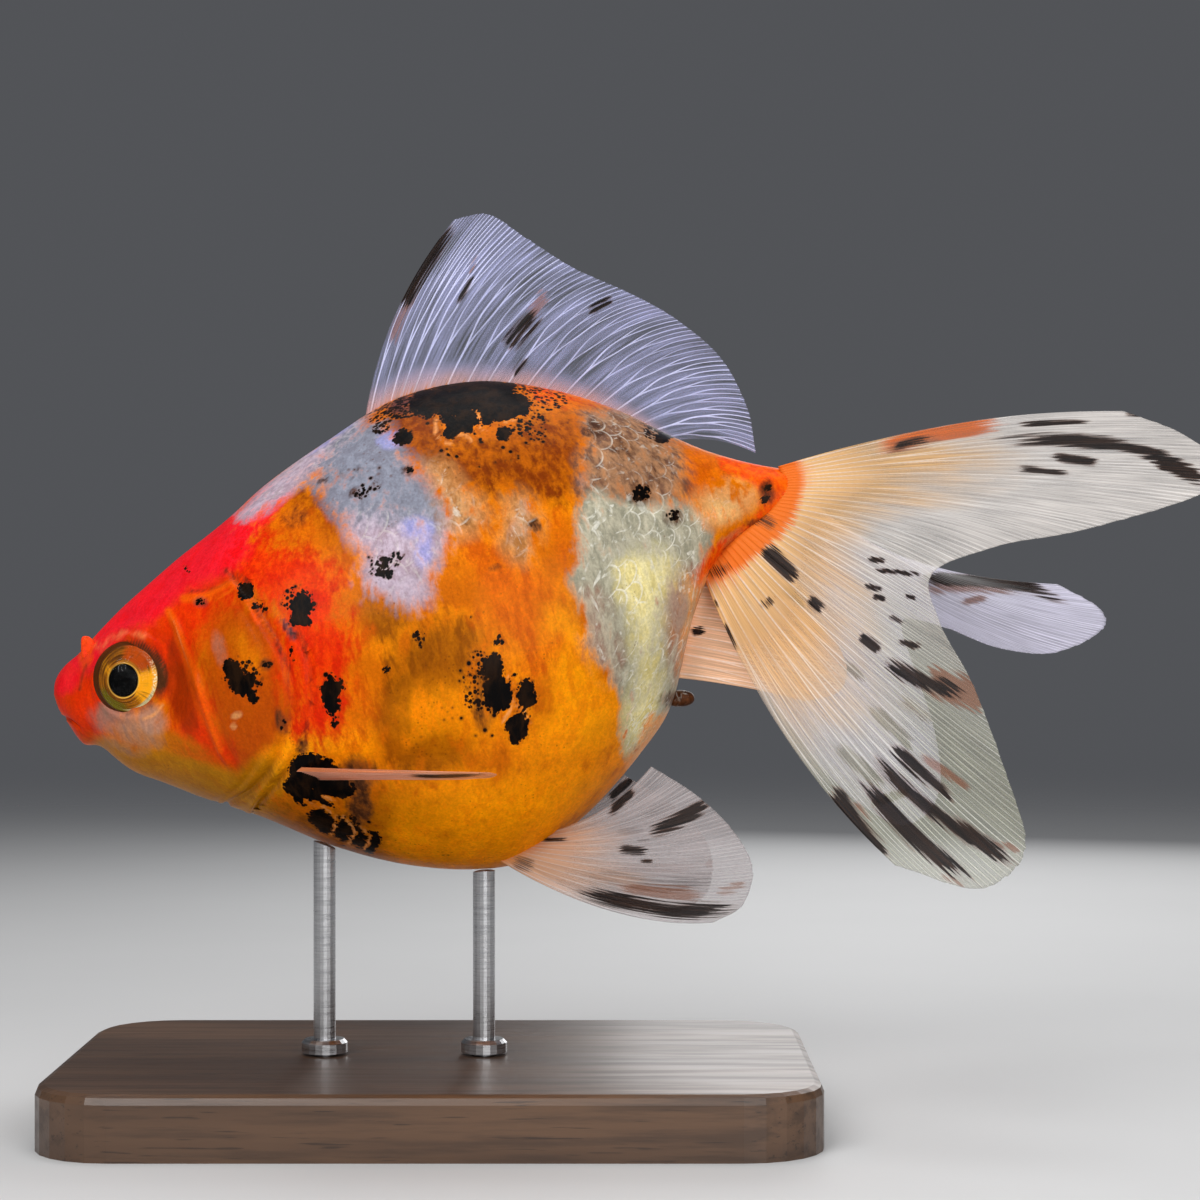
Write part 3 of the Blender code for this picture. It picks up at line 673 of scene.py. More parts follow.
# %% Large zones of the left side
STALK_PATCH = [(28.5, 70), (32, 71.8), (35.8, 71), (35.4, 68.6), (31.5, 66.4), (29, 67)]
ZONES = {"left": {  # outline of each, how many millimetres its edge takes, strength
    "umber": [
        ([(0, 76), (6, 77.5), (11, 79.5), (16.5, 79.5), (17, 75), (15.5, 70.5), (12, 69.6), (6.5, 70.4),
          (2.4, 71)], 2.2, 0.85),
        ([(-6, 79.6), (-1, 80.5), (0.8, 76), (0.4, 73.6), (-2.5, 73.6), (-5.2, 76)], 1, 0.95),
        ([(-19.5, 71.5), (-13, 71), (-10, 67), (-10.6, 62.6), (-13.6, 64.6), (-17, 68)], 1.6, 0.66),
        ([(-8, 50), (-5, 50.5), (-3.5, 44), (-4.5, 40), (-7.4, 42)], 1.8, 0.6),
        ([(-25, 48), (-21, 48.5), (-19, 45), (-20, 42), (-24.4, 43)], 2, 0.5)],
    "rust": [
        ([(-27.4, 58.6), (-21, 58), (-17, 55), (-15.4, 50), (-15.6, 44), (-20, 39), (-24.4, 39.4),
          (-26.4, 48)], 1.6, 1)],
    "moss": [
        ([(-22, 38), (-16, 36), (-8, 36.5), (-4, 35.8), (-1, 33), (-1, 30), (-4, 26), (-12, 27),
          (-24, 31)], 3, 0.9),
        ([(-6, 51), (-1, 56), (4.5, 55), (4, 50), (1, 46), (3, 40.5), (-4, 38.5), (-6.5, 43)], 2.2, 0.95),
        ([(-9.2, 59.6), (-3.5, 59.4), (-3.5, 55), (-9, 54)], 1.8, 0.85)],
    "yellow": [
        ([(11, 57), (15.4, 57.5), (18.4, 50.5), (20.8, 46), (20, 41.5), (15, 40.5), (11.8, 43),
          (12.5, 49)], 2.8, 1),
        ([(-6, 35.4), (2, 38), (10, 38.6), (17, 40), (20, 38), (14, 31), (8, 27), (0, 26),
          (-6, 29)], 2.6, 0.75),
        ([(-4, 48), (4.5, 49), (5, 43), (0, 40.5), (-5, 42.5)], 2.5, 0.5),
        ([(-15.5, 43.5), (-10, 44.8), (-7, 42), (-8, 39.6), (-12, 40.5), (-15, 40.5)], 1.6, 0.9),
        ([(-20.6, 40), (-18, 43), (-15.6, 46), (-15.2, 42), (-17, 38), (-20, 36)], 1.3, 0.8),
        ([(-23.6, 55.2), (-21, 54.4), (-19.4, 51.4), (-21, 49.6), (-23, 51.6), (-24, 53)], 1.6, 0.4)],
    "orange": [
        ([(8.5, 83.6), (15, 83.6), (20, 82), (22.8, 79.6), (18.5, 79.7), (14, 80), (10.5, 80.6)], 0.8, 1),
        ([(3, 66), (8, 63), (13.2, 61), (12.5, 56), (11.5, 48), (9.5, 53), (6.5, 55),
          (3.5, 58)], 2.6, 0.85),
        ([(13, 68), (15, 66), (15.2, 61.5), (12.4, 62)], 1.4, 0.9),
        ([(27.6, 75.8), (31, 75), (33.4, 73), (31.5, 71.2), (28.5, 69.4), (27.8, 71.5)], 0.9, 0.9),
        ([(-24.5, 67.5), (-20, 71), (-15.6, 68.6), (-11.4, 64.6), (-9, 60), (-8.4, 54), (-7.2, 48),
          (-9, 43), (-14, 42), (-16, 52), (-20, 60)], 2.2, 0.85)],
    "red": [
        ([(-45, 53), (-36, 61), (-27, 68.6), (-23.5, 67.6), (-19.6, 65.2), (-15.4, 63.8), (-12.4, 61.6),
          (-10.8, 57.5), (-10.2, 51.5), (-11.2, 46), (-13, 42.6), (-16.8, 44), (-17.8, 50), (-19.5, 56),
          (-22.5, 58), (-26, 56), (-27, 50), (-25, 44), (-23, 39.5), (-29.6, 39.5), (-31, 47), (-36, 45.6),
          (-38.4, 42.6), (-42, 41), (-45.5, 46)], 2.3, 1)],
    "petal": [
        ([(-10.5, 69.5), (-5, 69), (0.5, 68.5), (0.6, 64), (-0.8, 61.5), (-0.6, 58.8), (-3, 57.2),
          (-8.4, 58.8), (-8.9, 61), (-8, 63.5), (-10.4, 65.5)], 1.9, 1),
        ([(-23, 68), (-16, 75), (-9.5, 80), (-8.5, 77.5), (-13, 73.8), (-15.5, 71.8),
          (-20, 68.3)], 1.2, 0.95),
        ([(-15.5, 73.6), (-9.5, 78.6), (-8.2, 76.4), (-12.5, 73.4)], 1.2, 0.4)],
    "blush": [
        ([(15.4, 58.5), (17.5, 59.6), (19.6, 56), (20.4, 51), (19, 49), (16.4, 53)], 1.8, 0.6),
        ([(25, 60.4), (29.5, 61.6), (33, 59), (33, 50), (28, 47.6), (26.2, 52)], 1.7, 1)],
    "cream": [
        ([(27, 60), (30, 60.4), (32, 57), (31, 50), (27.4, 46.4), (27, 52)], 1.4, 0.62),
        (STALK_PATCH, 1.4, 0.45),
        ([(42, 74), (41.4, 71), (39.4, 67.6), (36, 64.6), (33, 62.6), (29.6, 60.4), (30, 57), (36, 60),
          (44, 66), (47, 74)], 0.9, 0.9)],
    "mist": [
        ([(-13.8, 72.6), (-10, 78.4), (-6.8, 79), (-5.2, 76), (-3.4, 74.2), (-0.8, 71.8), (1.4, 67.5),
          (-2.8, 67), (-6.2, 67.8), (-10.5, 67.6), (-13.5, 71)], 2.2, 1)],
    "beige": [
        ([(-2, 73.6), (0.4, 74), (2.8, 71.2), (5.4, 68.6), (5.4, 66.6), (1.5, 65.6), (0.2, 68)], 1.9, 0.75),
        ([(7.4, 70.2), (9.2, 70.4), (11.2, 68.2), (11.2, 65), (9.4, 62.4), (7, 65)], 1.9, 0.68),
        (STALK_PATCH, 1.3, 0.5)],
    "mauve": [
        ([(16, 79.6), (20.5, 80.4), (24.5, 78.8), (27, 76), (27.8, 72), (26.5, 68.8), (22, 68), (17, 69),
          (15.6, 73), (16.6, 76)], 1.9, 1)],
    "pearl": [
        ([(15.8, 68), (17.5, 70.5), (22, 69.2), (27.5, 69.2), (30.2, 66.6), (30, 63.5), (30, 60),
          (32, 56.4), (31, 51), (29, 47.8), (25.6, 44.6), (21.8, 40.5), (20.6, 43), (21, 46.5),
          (19.4, 49.5), (17.2, 53), (15.5, 58.5), (14.6, 61.5), (15.3, 65)], 1.3, 1)],
    "lemon": [
        ([(20.5, 62.6), (24, 64), (27, 61), (25.5, 57.5), (24.5, 53), (24.9, 48), (23.4, 43), (21.6, 41.5),
          (21.4, 45), (22.6, 50), (22, 54), (21, 58)], 2, 0.85),
        ([(30, 69.6), (33, 70), (34, 68), (31, 67)], 1, 0.45)],
    "flush": [
        ([(8.5, 83.6), (15, 83.6), (20, 82), (22.8, 79.6), (18.5, 80), (14, 80.4), (10.5, 81)], 0.8, 0.55),
        ([(31.5, 76), (36, 75.4), (44, 75), (44, 68), (39.8, 65), (36.6, 63.6), (33, 61), (29, 59.6),
          (29.3, 61.8), (31.5, 64.4), (34.5, 66.8), (36.3, 68.6), (35.8, 71.2), (32, 73.6)], 0.9, 1)],
    "gold_and_highlight": [
        ([(22.8, 43.4), (24.4, 45.4), (27.4, 45.6), (26, 41), (22.6, 37.2), (21.2, 39.4)], 0.8, 0.85)],
}}
print("zones on the left side:", sum(len(marks) for marks in ZONES["left"].values()))

# %% Large zones of the right side
def shifted(colour, index, rearward, up):
    """A zone of the left side in another place on the right side."""
    outline, edge, strength = ZONES["left"][colour][index]
    return [(x + rearward, z + up) for x, z in outline], edge, strength


ZONES["right"] = {
    "umber": [shifted("umber", 0, -3, 0.4), shifted("umber", 4, 0, 0), shifted("umber", 3, 7, 1)],
    "rust": [shifted("rust", 0, 0, 0)],
    "moss": [shifted("moss", 0, 1, 0), shifted("moss", 1, 6, -2)],
    "yellow": [shifted("yellow", 0, -1, -1.5), shifted("yellow", 1, 0, 0), shifted("yellow", 2, 1, -3),
               shifted("yellow", 4, 0, 0), shifted("yellow", 5, 0, -0.8)],
    "orange": [shifted("orange", 0, 0, 0), shifted("orange", 1, -5, -6), shifted("orange", 3, 0, 0),
               shifted("orange", 4, 0, 0)],
    "red": [shifted("red", 0, 0, 0),
            ([(-13, 73.6), (-4, 77.6), (-0.4, 73), (-3.4, 67), (-9, 62), (-13, 60)], 1.8, 1)],
    "petal": [([(-2.6, 70), (4.6, 72), (7.4, 67.6), (4.4, 62), (4.8, 57), (1.4, 54), (-1.4, 59),
                (-3.6, 63)], 1.4, 1),
              ([(-23, 68), (-16, 75), (-12, 78), (-11, 75), (-15.5, 71.8), (-20, 68.3)], 1.2, 0.95)],
    "mist": [([(-1.6, 74.6), (5.4, 77.6), (9, 74), (6.6, 69.4), (0, 68.4)], 1.6, 1)],
    "beige": [shifted("beige", 2, 0, 0), ([(7, 64), (12, 66), (14, 61.6), (10, 59.4)], 1.6, 0.8)],
    "mauve": [shifted("mauve", 0, -0.6, 0.2)],
    "pearl": [shifted("pearl", 0, 0.4, -0.8)],
    "lemon": [shifted("lemon", 0, -0.8, 2)],
    "flush": [shifted("flush", 0, 0, 0), shifted("flush", 1, 0, 0)],
    "gold_and_highlight": [shifted("gold_and_highlight", 0, 0, 0)],
}
print("zones on the right side:", sum(len(marks) for marks in ZONES["right"].values()))

# %% Small patches and lines
SHARED_PATCHES = {  # x, z, half length, half height, tilt, strength, the same on both sides
    "crimson": [(-33, 59.5, 9, 3.2, 41, 1), (-26.5, 64.7, 6, 4.2, 42, 1), (-39.5, 53.2, 4, 2.8, 45, 0.9),
                (-42.4, 49.4, 2.2, 1.8, 60, 0.75), (-20, 69.2, 4, 2, 42, 0.7)],
    "olive": [(-27, 37.4, 9.4, 2.9, -20, 1), (-36.6, 40.8, 3, 1.5, -30, 0.8),
              (-20.5, 37.5, 3.4, 2.8, 40, 0.8), (-30, 41.4, 6, 2, -20, 0.55)],
    "ember": [(-29, 47.6, 1.9, 4.6, 12, 0.85), (-29.8, 52.6, 1, 2.6, -10, 0.6),
              (-37.4, 45.6, 1.6, 1.6, 0, 0.4)],
    "flush": [(-39.9, 52.6, 1, 2.6, -8, 0.52), (-27.8, 49, 0.8, 5.4, 14, 0.5)],
    "smudge_and_shade": [(27.8, 47, 2.8, 1.2, 0, 1)],
}
PATCHES = {"left": {
    # the second patch, along the gill cover's rear edge, is its brown deepened with painted shade of the gill
    # opening
    "umber": [(-17, 67.5, 2.2, 1.8, 0, 0.55), (-18.2, 46, 0.9, 3.6, 6, 0.75), (-22, 44, 2, 2.4, 0, 0.5)],
    "blush": [(-36.2, 44.7, 3.4, 1.9, -12, 0.62), (-32.6, 44.6, 1.9, 2, 20, 0.72),
              (-34.4, 43.2, 3.6, 1.6, -16, 0.55), (33.4, 64.9, 2.2, 1.3, 30, 0.55),
              (-24.9, 52.7, 0.9, 2.2, 12, 0.44), (-35.5, 41.9, 3, 1.2, -20, 0.42)],
    "petal": [(9, 66.4, 1.2, 2, -20, 0.5), (22.5, 62.5, 2.4, 1.6, 0, 0.4), (26.6, 64.4, 2, 1.6, 0, 0.45),
              (20.5, 79.2, 2.4, 0.9, 0, 0.5)],
    "cream": [(-22.9, 45.3, 0.8, 0.5, 20, 0.55), (-23.3, 44, 0.5, 0.4, 0, 0.5)],
    "mist": [(18.4, 78.4, 2.2, 1.3, 0, 0.5), (16.6, 71.8, 1.1, 1.3, 0, 0.5), (22.2, 65.6, 3, 1.2, 0, 0.55),
             (17, 63.2, 1.6, 1.8, 0, 0.5), (9.6, 68.8, 1, 1, 0, 0.45)],
    # painted reflections of blue light at the shoulder, and bluish patches along the back
    "blue_and_reflection": [(-2.6, 66.4, 1.9, 1.4, 0, 0.62), (-1.9, 64, 1.1, 2, 0, 0.58), (-12.4, 77, 4, 0.8, 36, 0.55),
            (-5.6, 76.5, 1.6, 1.2, 0, 0.4)],
    "plum": [(-2.8, 80.6, 3.6, 1.2, 12, 0.85), (-17.2, 55.2, 0.5, 1.7, 32, 0.9),
             (-27, 58.1, 0.9, 0.7, 0, 0.55)],
    # blurred dark marks, and at (-18, 44.7) painted shade in the gill opening
    "smudge_and_shade": [(-9.3, 70.2, 0.9, 0.8, 0, 0.5), (-7.4, 71, 0.6, 0.6, 0, 0.5),
               (-3.5, 72.9, 0.8, 0.7, 0, 0.75), (-11, 72.4, 0.5, 0.4, 0, 0.6),
               (-13.2, 71.8, 0.6, 0.4, 0, 0.6), (-9, 73, 0.4, 0.4, 0, 0.55),
               (10.8, 66.6, 0.8, 0.75, 0, 0.8), (3, 67.6, 0.7, 0.7, 0, 0.5),
               (-16.4, 67.8, 1.6, 1.4, 0, 0.36), (-9.2, 38.4, 2.2, 2.2, 0, 0.85),
               (-9, 35, 1.6, 2.6, 0, 0.8), (-18, 44.7, 0.6, 1.5, 8, 0.8), (-19.6, 51.1, 0.8, 0.6, 0, 0.7),
               (-15.4, 41.8, 0.7, 1, 0, 0.7), (22.7, 70.4, 1.5, 1.4, 0, 0.6), (17.4, 77.6, 1.4, 1, 0, 0.55),
               (20.8, 75.4, 1.5, 1.3, 0, 0.5), (24.6, 73.4, 1, 2, 0, 0.4), (26.4, 67.8, 1.4, 1.1, 0, 0.62),
               (37, 70.4, 1, 1.5, 0, 0.6), (6.2, 61.9, 0.7, 0.4, 0, 0.55), (1.3, 60.7, 0.5, 0.4, 0, 0.55),
               (35.6, 67, 1.3, 0.5, 0, 0.6), (37.2, 66.4, 0.7, 1, 0, 0.6), (23.6, 78.4, 1.9, 0.7, -25, 0.6),
               (5, 47.6, 1.4, 4, 0, 0.5)],
}}
PATCHES["right"] = {
    "blush": [(-35.4, 44.4, 3.6, 2, -10, 0.65), (-25, 51.6, 1.4, 2.2, 10, 0.56),
              (26.4, 56, 1.8, 2.8, 0, 0.75)],
    "petal": [(-16, 42.5, 2.2, 3, 10, 0.8)],
    "mist": [(19, 78.4, 2.2, 1.3, 0, 0.5), (24, 63.6, 3, 1.2, 0, 0.55)],
    "lemon": [(30.2, 67.6, 2.6, 1.6, 20, 0.6), (-4, 36, 5, 2, 10, 0.5)],
    "smudge_and_shade": [(4.8, 70.4, 0.8, 0.7, 0, 0.75), (2, 66, 0.6, 0.6, 0, 0.6), (-11.6, 39.4, 2.2, 2, 0, 0.8),
               (27.4, 71, 1.3, 1.2, 0, 0.6), (-18, 60, 2, 1.8, 0, 0.5), (36.4, 68.4, 0.8, 1.2, 0, 0.6)],
}
LIP_LINE = [(-43.7, 47.7), (-43, 46), (-41.9, 44.4), (-40.6, 42.3), (-39.4, 41.6)]
EYE_TOP = [(-38.4, 52.9), (-36.8, 54.2), (-35, 54.6), (-33.4, 54.2)]
EYE_FOLD = [(-33.4, 44.9), (-32.2, 45.4), (-31.3, 46.4)]
LINES = {  # colour: (line, half width, strength), the same on both sides
    "flush": [(CHEEK_RIDGE[:6], 0.6, 0.8), (GILL_TOP, 0.6, 0.8),
              (np.array(GILL_TOP) + (1.0, -0.4), 0.2, 0.8)],
    "yellow": [(np.array(MEMBRANE_EDGE) - (0.2, 0), 0.6, 0.85),
               (np.array(MEMBRANE_EDGE) + (1.7, 0), 0.25, 0.7)],
    # painted highlights: a band above the eye, the fold below it, the lip rim and the front of the cheek
    # ridge
    "gold_and_highlight": [(EYE_TOP, 0.8, 0.42), (EYE_FOLD, 0.3, 0.6), (LIP_LINE, 0.25, 0.3),
              (CHEEK_RIDGE[:4], 0.14, 0.35)],
    # painted shade in the grooves behind the membrane, the gill edge and the gill top, in the mouth slit and
    # in the nostril fold
    "smudge_and_shade": [(np.array(MEMBRANE_EDGE[:5]) + (0.75, 0), 0.35, 0.45),
               (np.array(GILL_EDGE[:6]) + (0.45, 0), 0.4, 0.55),
               (MOUTH_SLIT, 0.16, 0.6), (NOSE_FOLD, 0.25, 0.5), (np.array(GILL_TOP) + (0.8, 0.8), 0.25, 0.5)],
}
print("small patches:", sum(len(marks) for side in PATCHES.values() for marks in side.values()))

# %% Black
BLACK = {"left": [  # x, z, half length, half height, tilt, strength
    (-23.3, 50.3, 1.2, 1.3, 0, 1), (-22.2, 48.6, 1.3, 1.4, -30, 1), (-21.2, 47.5, 0.7, 0.9, 20, 0.9),
    (-22, 49.4, 2.6, 2.8, -40, 0.38), (-19.5, 51.1, 0.7, 0.5, 0, 0.62), (-21.9, 59.2, 0.9, 1, 0, 1),
    (-20.2, 57.5, 1.1, 0.4, -10, 0.9), (-15.6, 57.8, 1.4, 1.3, 10, 1), (-15.7, 56.2, 1.2, 1.1, 0, 1),
    (-16.4, 58.4, 1.8, 1.7, 10, 0.45), (-14.6, 58.2, 0.8, 1.4, 0, 0.46), (-12.3, 47.5, 1.15, 2.3, 5, 1),
    (-12.1, 48.4, 1.6, 2.2, 5, 0.46), (-11.9, 44.3, 0.5, 0.7, 0, 0.9), (-14.3, 39, 2.9, 1.8, -8, 1),
    (-12.4, 37.3, 2.8, 1.5, -10, 1), (-15.6, 37, 2, 1.7, -30, 1), (-13.4, 35.8, 1.8, 0.9, -20, 0.8),
    (-13, 33.4, 1.9, 1.2, -35, 0.92), (-10.5, 32.3, 2.1, 1.5, -30, 0.92), (-8, 31, 1.5, 1.5, -25, 0.92),
    (-11, 33, 4.4, 3, -30, 0.34), (-17.8, 44.4, 0.4, 0.9, 0, 0.55), (6, 50.7, 1.3, 1.4, 25, 1),
    (6.7, 47.7, 1.9, 2.2, 0, 1), (9.8, 47.5, 1.2, 1.9, -8, 1), (8.9, 44.1, 1.3, 2, -12, 1),
    (4.2, 48.4, 2.2, 3.6, 0, 0.4), (4.3, 52, 1.3, 0.9, 0, 0.45), (4.6, 44.6, 3, 2.4, 0, 0.27),
    (6.8, 53.6, 0.6, 0.7, 0, 0.75), (4.7, 57.2, 0.4, 0.2, -20, 0.7), (3.4, 56.5, 0.35, 0.3, 0, 0.7),
    (8.4, 49.9, 0.5, 0.4, 0, 0.7), (-2.3, 53.8, 0.9, 1.2, 0, 0.62), (-5.8, 50.6, 0.5, 0.45, 0, 0.85),
    (-6.2, 61.6, 0.9, 0.9, 0, 0.85), (-6.7, 62, 1.9, 1.7, 0, 0.46), (-5, 63.1, 0.8, 0.6, 20, 0.5),
    (-4.1, 76.6, 1.1, 0.9, -15, 1), (22.8, 70.5, 1.1, 1.1, 0, 0.72), (26.5, 67.8, 1, 0.8, 0, 0.66),
    (25.3, 76.9, 1.2, 0.9, 20, 0.9), (24.2, 77.6, 1.8, 1.4, 0, 0.42), (37.1, 71.2, 0.7, 0.5, 30, 0.8),
    (36.9, 69.7, 0.5, 0.45, 0, 0.8), (36.3, 66.9, 1.4, 0.6, 10, 0.42), (32.9, 62.4, 0.45, 0.5, 0, 0.7),
    (31.2, 61.3, 1.3, 0.7, 15, 0.46), (-9.2, 70.4, 0.8, 0.7, 0, 0.66), (-7.2, 71.2, 0.8, 0.5, 0, 0.62),
    (-3.4, 73, 0.7, 0.6, 0, 0.6), (22, 53, 0.2, 0.8, 0, 0.6), (2, 80.6, 2.6, 1.7, 10, 1),
    (6, 81, 2.6, 1.5, 0, 1), (4.2, 79.6, 2.4, 1.6, 0, 1), (0.6, 81.4, 5.6, 1.5, 14, 0.66),
    (2, 78.6, 2, 2, 0, 1), (1.2, 77.2, 1, 0.9, 0, 0.9), (3, 77.8, 1, 1, 0, 0.9),
    (6.8, 79.6, 2.4, 1.2, 0, 1), (8.9, 80.4, 1.3, 1.3, 0, 0.9), (7.2, 77, 0.9, 0.9, 0, 1),
    (-1.4, 80.6, 2.6, 1.6, 10, 0.9), (-3.8, 80.2, 3.6, 1.4, 16, 0.56), (-7, 79.2, 2.4, 1.2, 24, 0.4),
    (4, 82.2, 4.8, 1.7, 2, 0.92), (8, 82.2, 4.4, 1.3, -4, 0.5), (11.6, 81.2, 3.2, 1.8, -8, 0.42),
    (4.4, 79.4, 6.8, 3.2, 0, 0.42), (9.8, 79, 1.8, 2, 0, 0.46), (10.6, 77.6, 2.4, 2.2, 0, 0.38),
    (4, 75.4, 7, 2.2, 0, 0.27), (-6.6, 77.8, 1.2, 1, 0, 0.56), (0.6, 75.2, 0.8, 1.6, 0, 0.3),
    (-8, 72.4, 3.8, 2.8, 0, 0.24), (-1, 44.4, 4.4, 4.4, 0, 0.14), (-27, 58.1, 0.6, 0.4, 0, 0.5),
    (-28.4, 62, 0.3, 0.4, 0, 0.6), (-16.7, 52.2, 0.25, 0.9, 15, 0.8), (0.5, 30, 1.2, 0.6, 0, 0.3)
], "right": [
    (-22.6, 46.2, 1.6, 1.9, 20, 1), (-22.3, 46.4, 2.8, 3.1, 20, 0.38), (-18, 60.2, 1.6, 1.4, 30, 1),
    (-17.8, 60, 2.6, 2.4, 30, 0.44), (-6, 51.5, 2.2, 1.5, -30, 1), (-4.6, 49.8, 1.4, 1.9, 0, 1),
    (-5.4, 50.8, 3.7, 3.2, -30, 0.38), (8.5, 38.5, 1.7, 2.4, -20, 1), (10.2, 40.3, 1.2, 1.6, 0, 1),
    (9, 39.4, 3.2, 3.8, -20, 0.36), (-13.5, 38, 2.8, 1.8, -8, 1), (-12, 37, 3.8, 3, -20, 0.42),
    (16.5, 60.5, 1.5, 1.1, 10, 0.95), (3.6, 80.4, 4.8, 2.4, -6, 1), (9, 79.8, 2.6, 2, -20, 1),
    (4.6, 82.2, 4.6, 1.6, 0, 0.95), (3.4, 79, 9.5, 4.4, -6, 0.42), (6, 75, 7, 2.6, -10, 0.24),
    (-9, 66.2, 1.1, 0.9, 0, 0.8), (27.6, 71.2, 1, 0.9, 0, 0.95), (33.8, 66.4, 0.7, 0.6, 0, 0.8),
    (20.4, 51.6, 0.5, 1.4, 10, 0.8), (-0.6, 60.4, 0.6, 0.6, 0, 0.8), (1.4, 44, 0.6, 0.5, 0, 0.8),
    (37.2, 71.4, 0.8, 0.6, 0, 0.8), (13.2, 72.6, 0.9, 0.8, 0, 0.6), (-28.2, 61.3, 0.4, 0.3, 0, 0.6)
]}
# Glints are painted highlights on scale edges.
GLINTS = [  # bright scale edges that break the black of the left side
    [(-0.4, 78.8), (-0.4, 77.2), (0.4, 76.2), (1.4, 75.9)], [(2.2, 77), (3, 76.9), (3.7, 76.3)],
    [(4, 79.8), (4.4, 79), (4.4, 77.8), (5.4, 77.4), (6.2, 77.6), (6.4, 78.8)],
    [(7.2, 78.3), (8.6, 78.6)],
    [(7.6, 49.8), (8.3, 48.2), (8.2, 46.4), (7.2, 44.7)], [(8.4, 46.4), (9.6, 45.6), (10.2, 44.4)],
    [(-12.8, 34.8), (-11.7, 33.5), (-12.3, 31.8)], [(-10.9, 33.8), (-9.7, 32.4), (-10.3, 30.8)],
    [(-9, 32.8), (-7.9, 31.5), (-8.4, 30.2)], [(-15.2, 35.7), (-14, 35), (-13, 35)],
    [(-13, 36.1), (-11.6, 35.6)],
]
print("black marks:", len(BLACK["left"]), "left and", len(BLACK["right"]), "right")

# %% [markdown]
# Black patches have crooked edges, so the plan is bent a little by a smooth wander before the black ovals
# are measured. Glints are painted highlights on scale edges: lines where the black is thinned and a golden
# highlight is laid instead.

# %% Marks at the body's points
PATCH_SOFTNESS, BLACK_SOFTNESS = 0.45, 0.34
BLACK_BEND, BLACK_PACE = 0.28, 1.7
GLINT_WIDTH, GLINT_CLEARS, GLINT_GLEAMS = 0.26, 0.85, 0.6
MIDLINE_BLEND = 1.2  # millimetres each side of the ridge and the keel


def colour_field(colour, side, x, z):
    """How strong a colour is at places of one side's plan."""
    ovals = SHARED_PATCHES.get(colour, []) + PATCHES[side].get(colour, [])
    field = patches(x, z, ovals, PATCH_SOFTNESS)
    for outline, soft, strength in ZONES[side].get(colour, []):
        field = np.maximum(field, strength * zone(x, z, outline, soft))
    for line, width, strength in LINES.get(colour, []):
        field = np.maximum(field, strength * hump(line_distance(line, x, z, 24)[0], width))
    return field


def markings(points):
    """The strength of each colour, of black, and of head skin, at points of the body."""
    x, z = on_plan(points)
    right = ease(points[..., 1], -MIDLINE_BLEND, MIDLINE_BLEND)
    values = {}
    for colour in COLOURS:
        left_field = colour_field(colour, "left", x, z)
        values[colour] = left_field + right * (colour_field(colour, "right", x, z) - left_field)
    bent_x = x + BLACK_BEND * wander(x, z, BLACK_PACE, 61)
    bent_z = z + BLACK_BEND * wander(x, z, BLACK_PACE, 62)
    left_black, right_black = (patches(bent_x, bent_z, BLACK[side], BLACK_SOFTNESS) for side in SIDES)
    glint = np.max([hump(line_distance(line, x, z, 16)[0], GLINT_WIDTH) for line in GLINTS], axis=0)
    left_black = left_black * (1 - GLINT_CLEARS * glint)
    values["gold_and_highlight"] = np.maximum(values["gold_and_highlight"], GLINT_GLEAMS * glint * (1 - right))
    values["black"] = left_black + right * (right_black - left_black)
    values["head"] = ease(behind(GILL_EDGE, x, z), 1.5, -0.5) * ease(x, -14, -20)
    return values


marks = markings(skin_points)
# The socket wall is darkened with painted shade.
SOCKET_SHADE = 1.1
marks["smudge_and_shade"][: socket.size] = np.maximum(marks["smudge_and_shade"][: socket.size], SOCKET_SHADE * socket.ravel())
print("black covers %.0f %% of the skin" % (100 * np.mean(marks["black"] > 0.6)))

# %% [markdown]
# ## The skin's finish
#
# The material lays the colours over each other in order. Before each colour is laid, noise is added to its
# strength, so that the edge of a patch wanders and frays. The head is smoother than the body, so the noise
# is weaker there.
#
# Four noises do all the work: broad blotches, strands that run down the side as muscle does, finer wisps,
# and grain. Each layer of paint is a function of its own, and they are called in turn at the end.

# %% Gold and the patches over it
GOLD, BRIGHT_GOLD, DEEP_GOLD = (0.63, 0.138, 0.001), (0.80, 0.23, 0.001), (0.40, 0.076, 0.001)


def golden_ground(f, blotch, strand, wisp):
    """Gold, brighter in clouds and deeper along wisps."""
    clouds = f.scaled(strand, 0.5, f.times(blotch, 0.5))
    colour = f.mix(f.step(clouds, 0.40, 0.60), GOLD, BRIGHT_GOLD)
    return f.mix(f.times(f.step(wisp, 0.50, 0.70), 0.6), colour, DEEP_GOLD)


def coloured_patches(f, colour, shake, blotch, strand, wisp):
    """The colours in painting order, each in two tones, with calmer edges and tones on the head."""
    calm = f.step(f.value("head"), 0.0, 1.0, 1.0, 0.5)
    shake = f.times(shake, calm)
    tone = f.plus(f.times(strand, 0.55), f.times(wisp, 0.45))
    tone = f.step(f.scaled(f.minus(blotch, 0.5), 0.4, tone), 0.40, 0.62)
    tone = f.scaled(tone, calm, f.step(f.value("head"), 0.0, 1.0, 0.0, 0.25))
    for key, (paint, deep, softness) in COLOURS.items():
        strength = f.frayed(f.value(key), shake)
        colour = f.mix(f.step(strength, 0.5 - softness, 0.5 + softness), colour, f.mix(tone, paint, deep))
    return colour


print("tones of paint:", 2 * len(COLOURS) + 3)

# %% [markdown]
# On the pale hind part, the rims of the scales catch the light as fine broken lines. The scales bring a
# number for that, rim. Finer threads lie between them, at several slants: each is noise stretched so far
# that it looks like hair. The belly is freckled with tiny dots, which are cells of a Voronoi pattern drawn
# by lot.

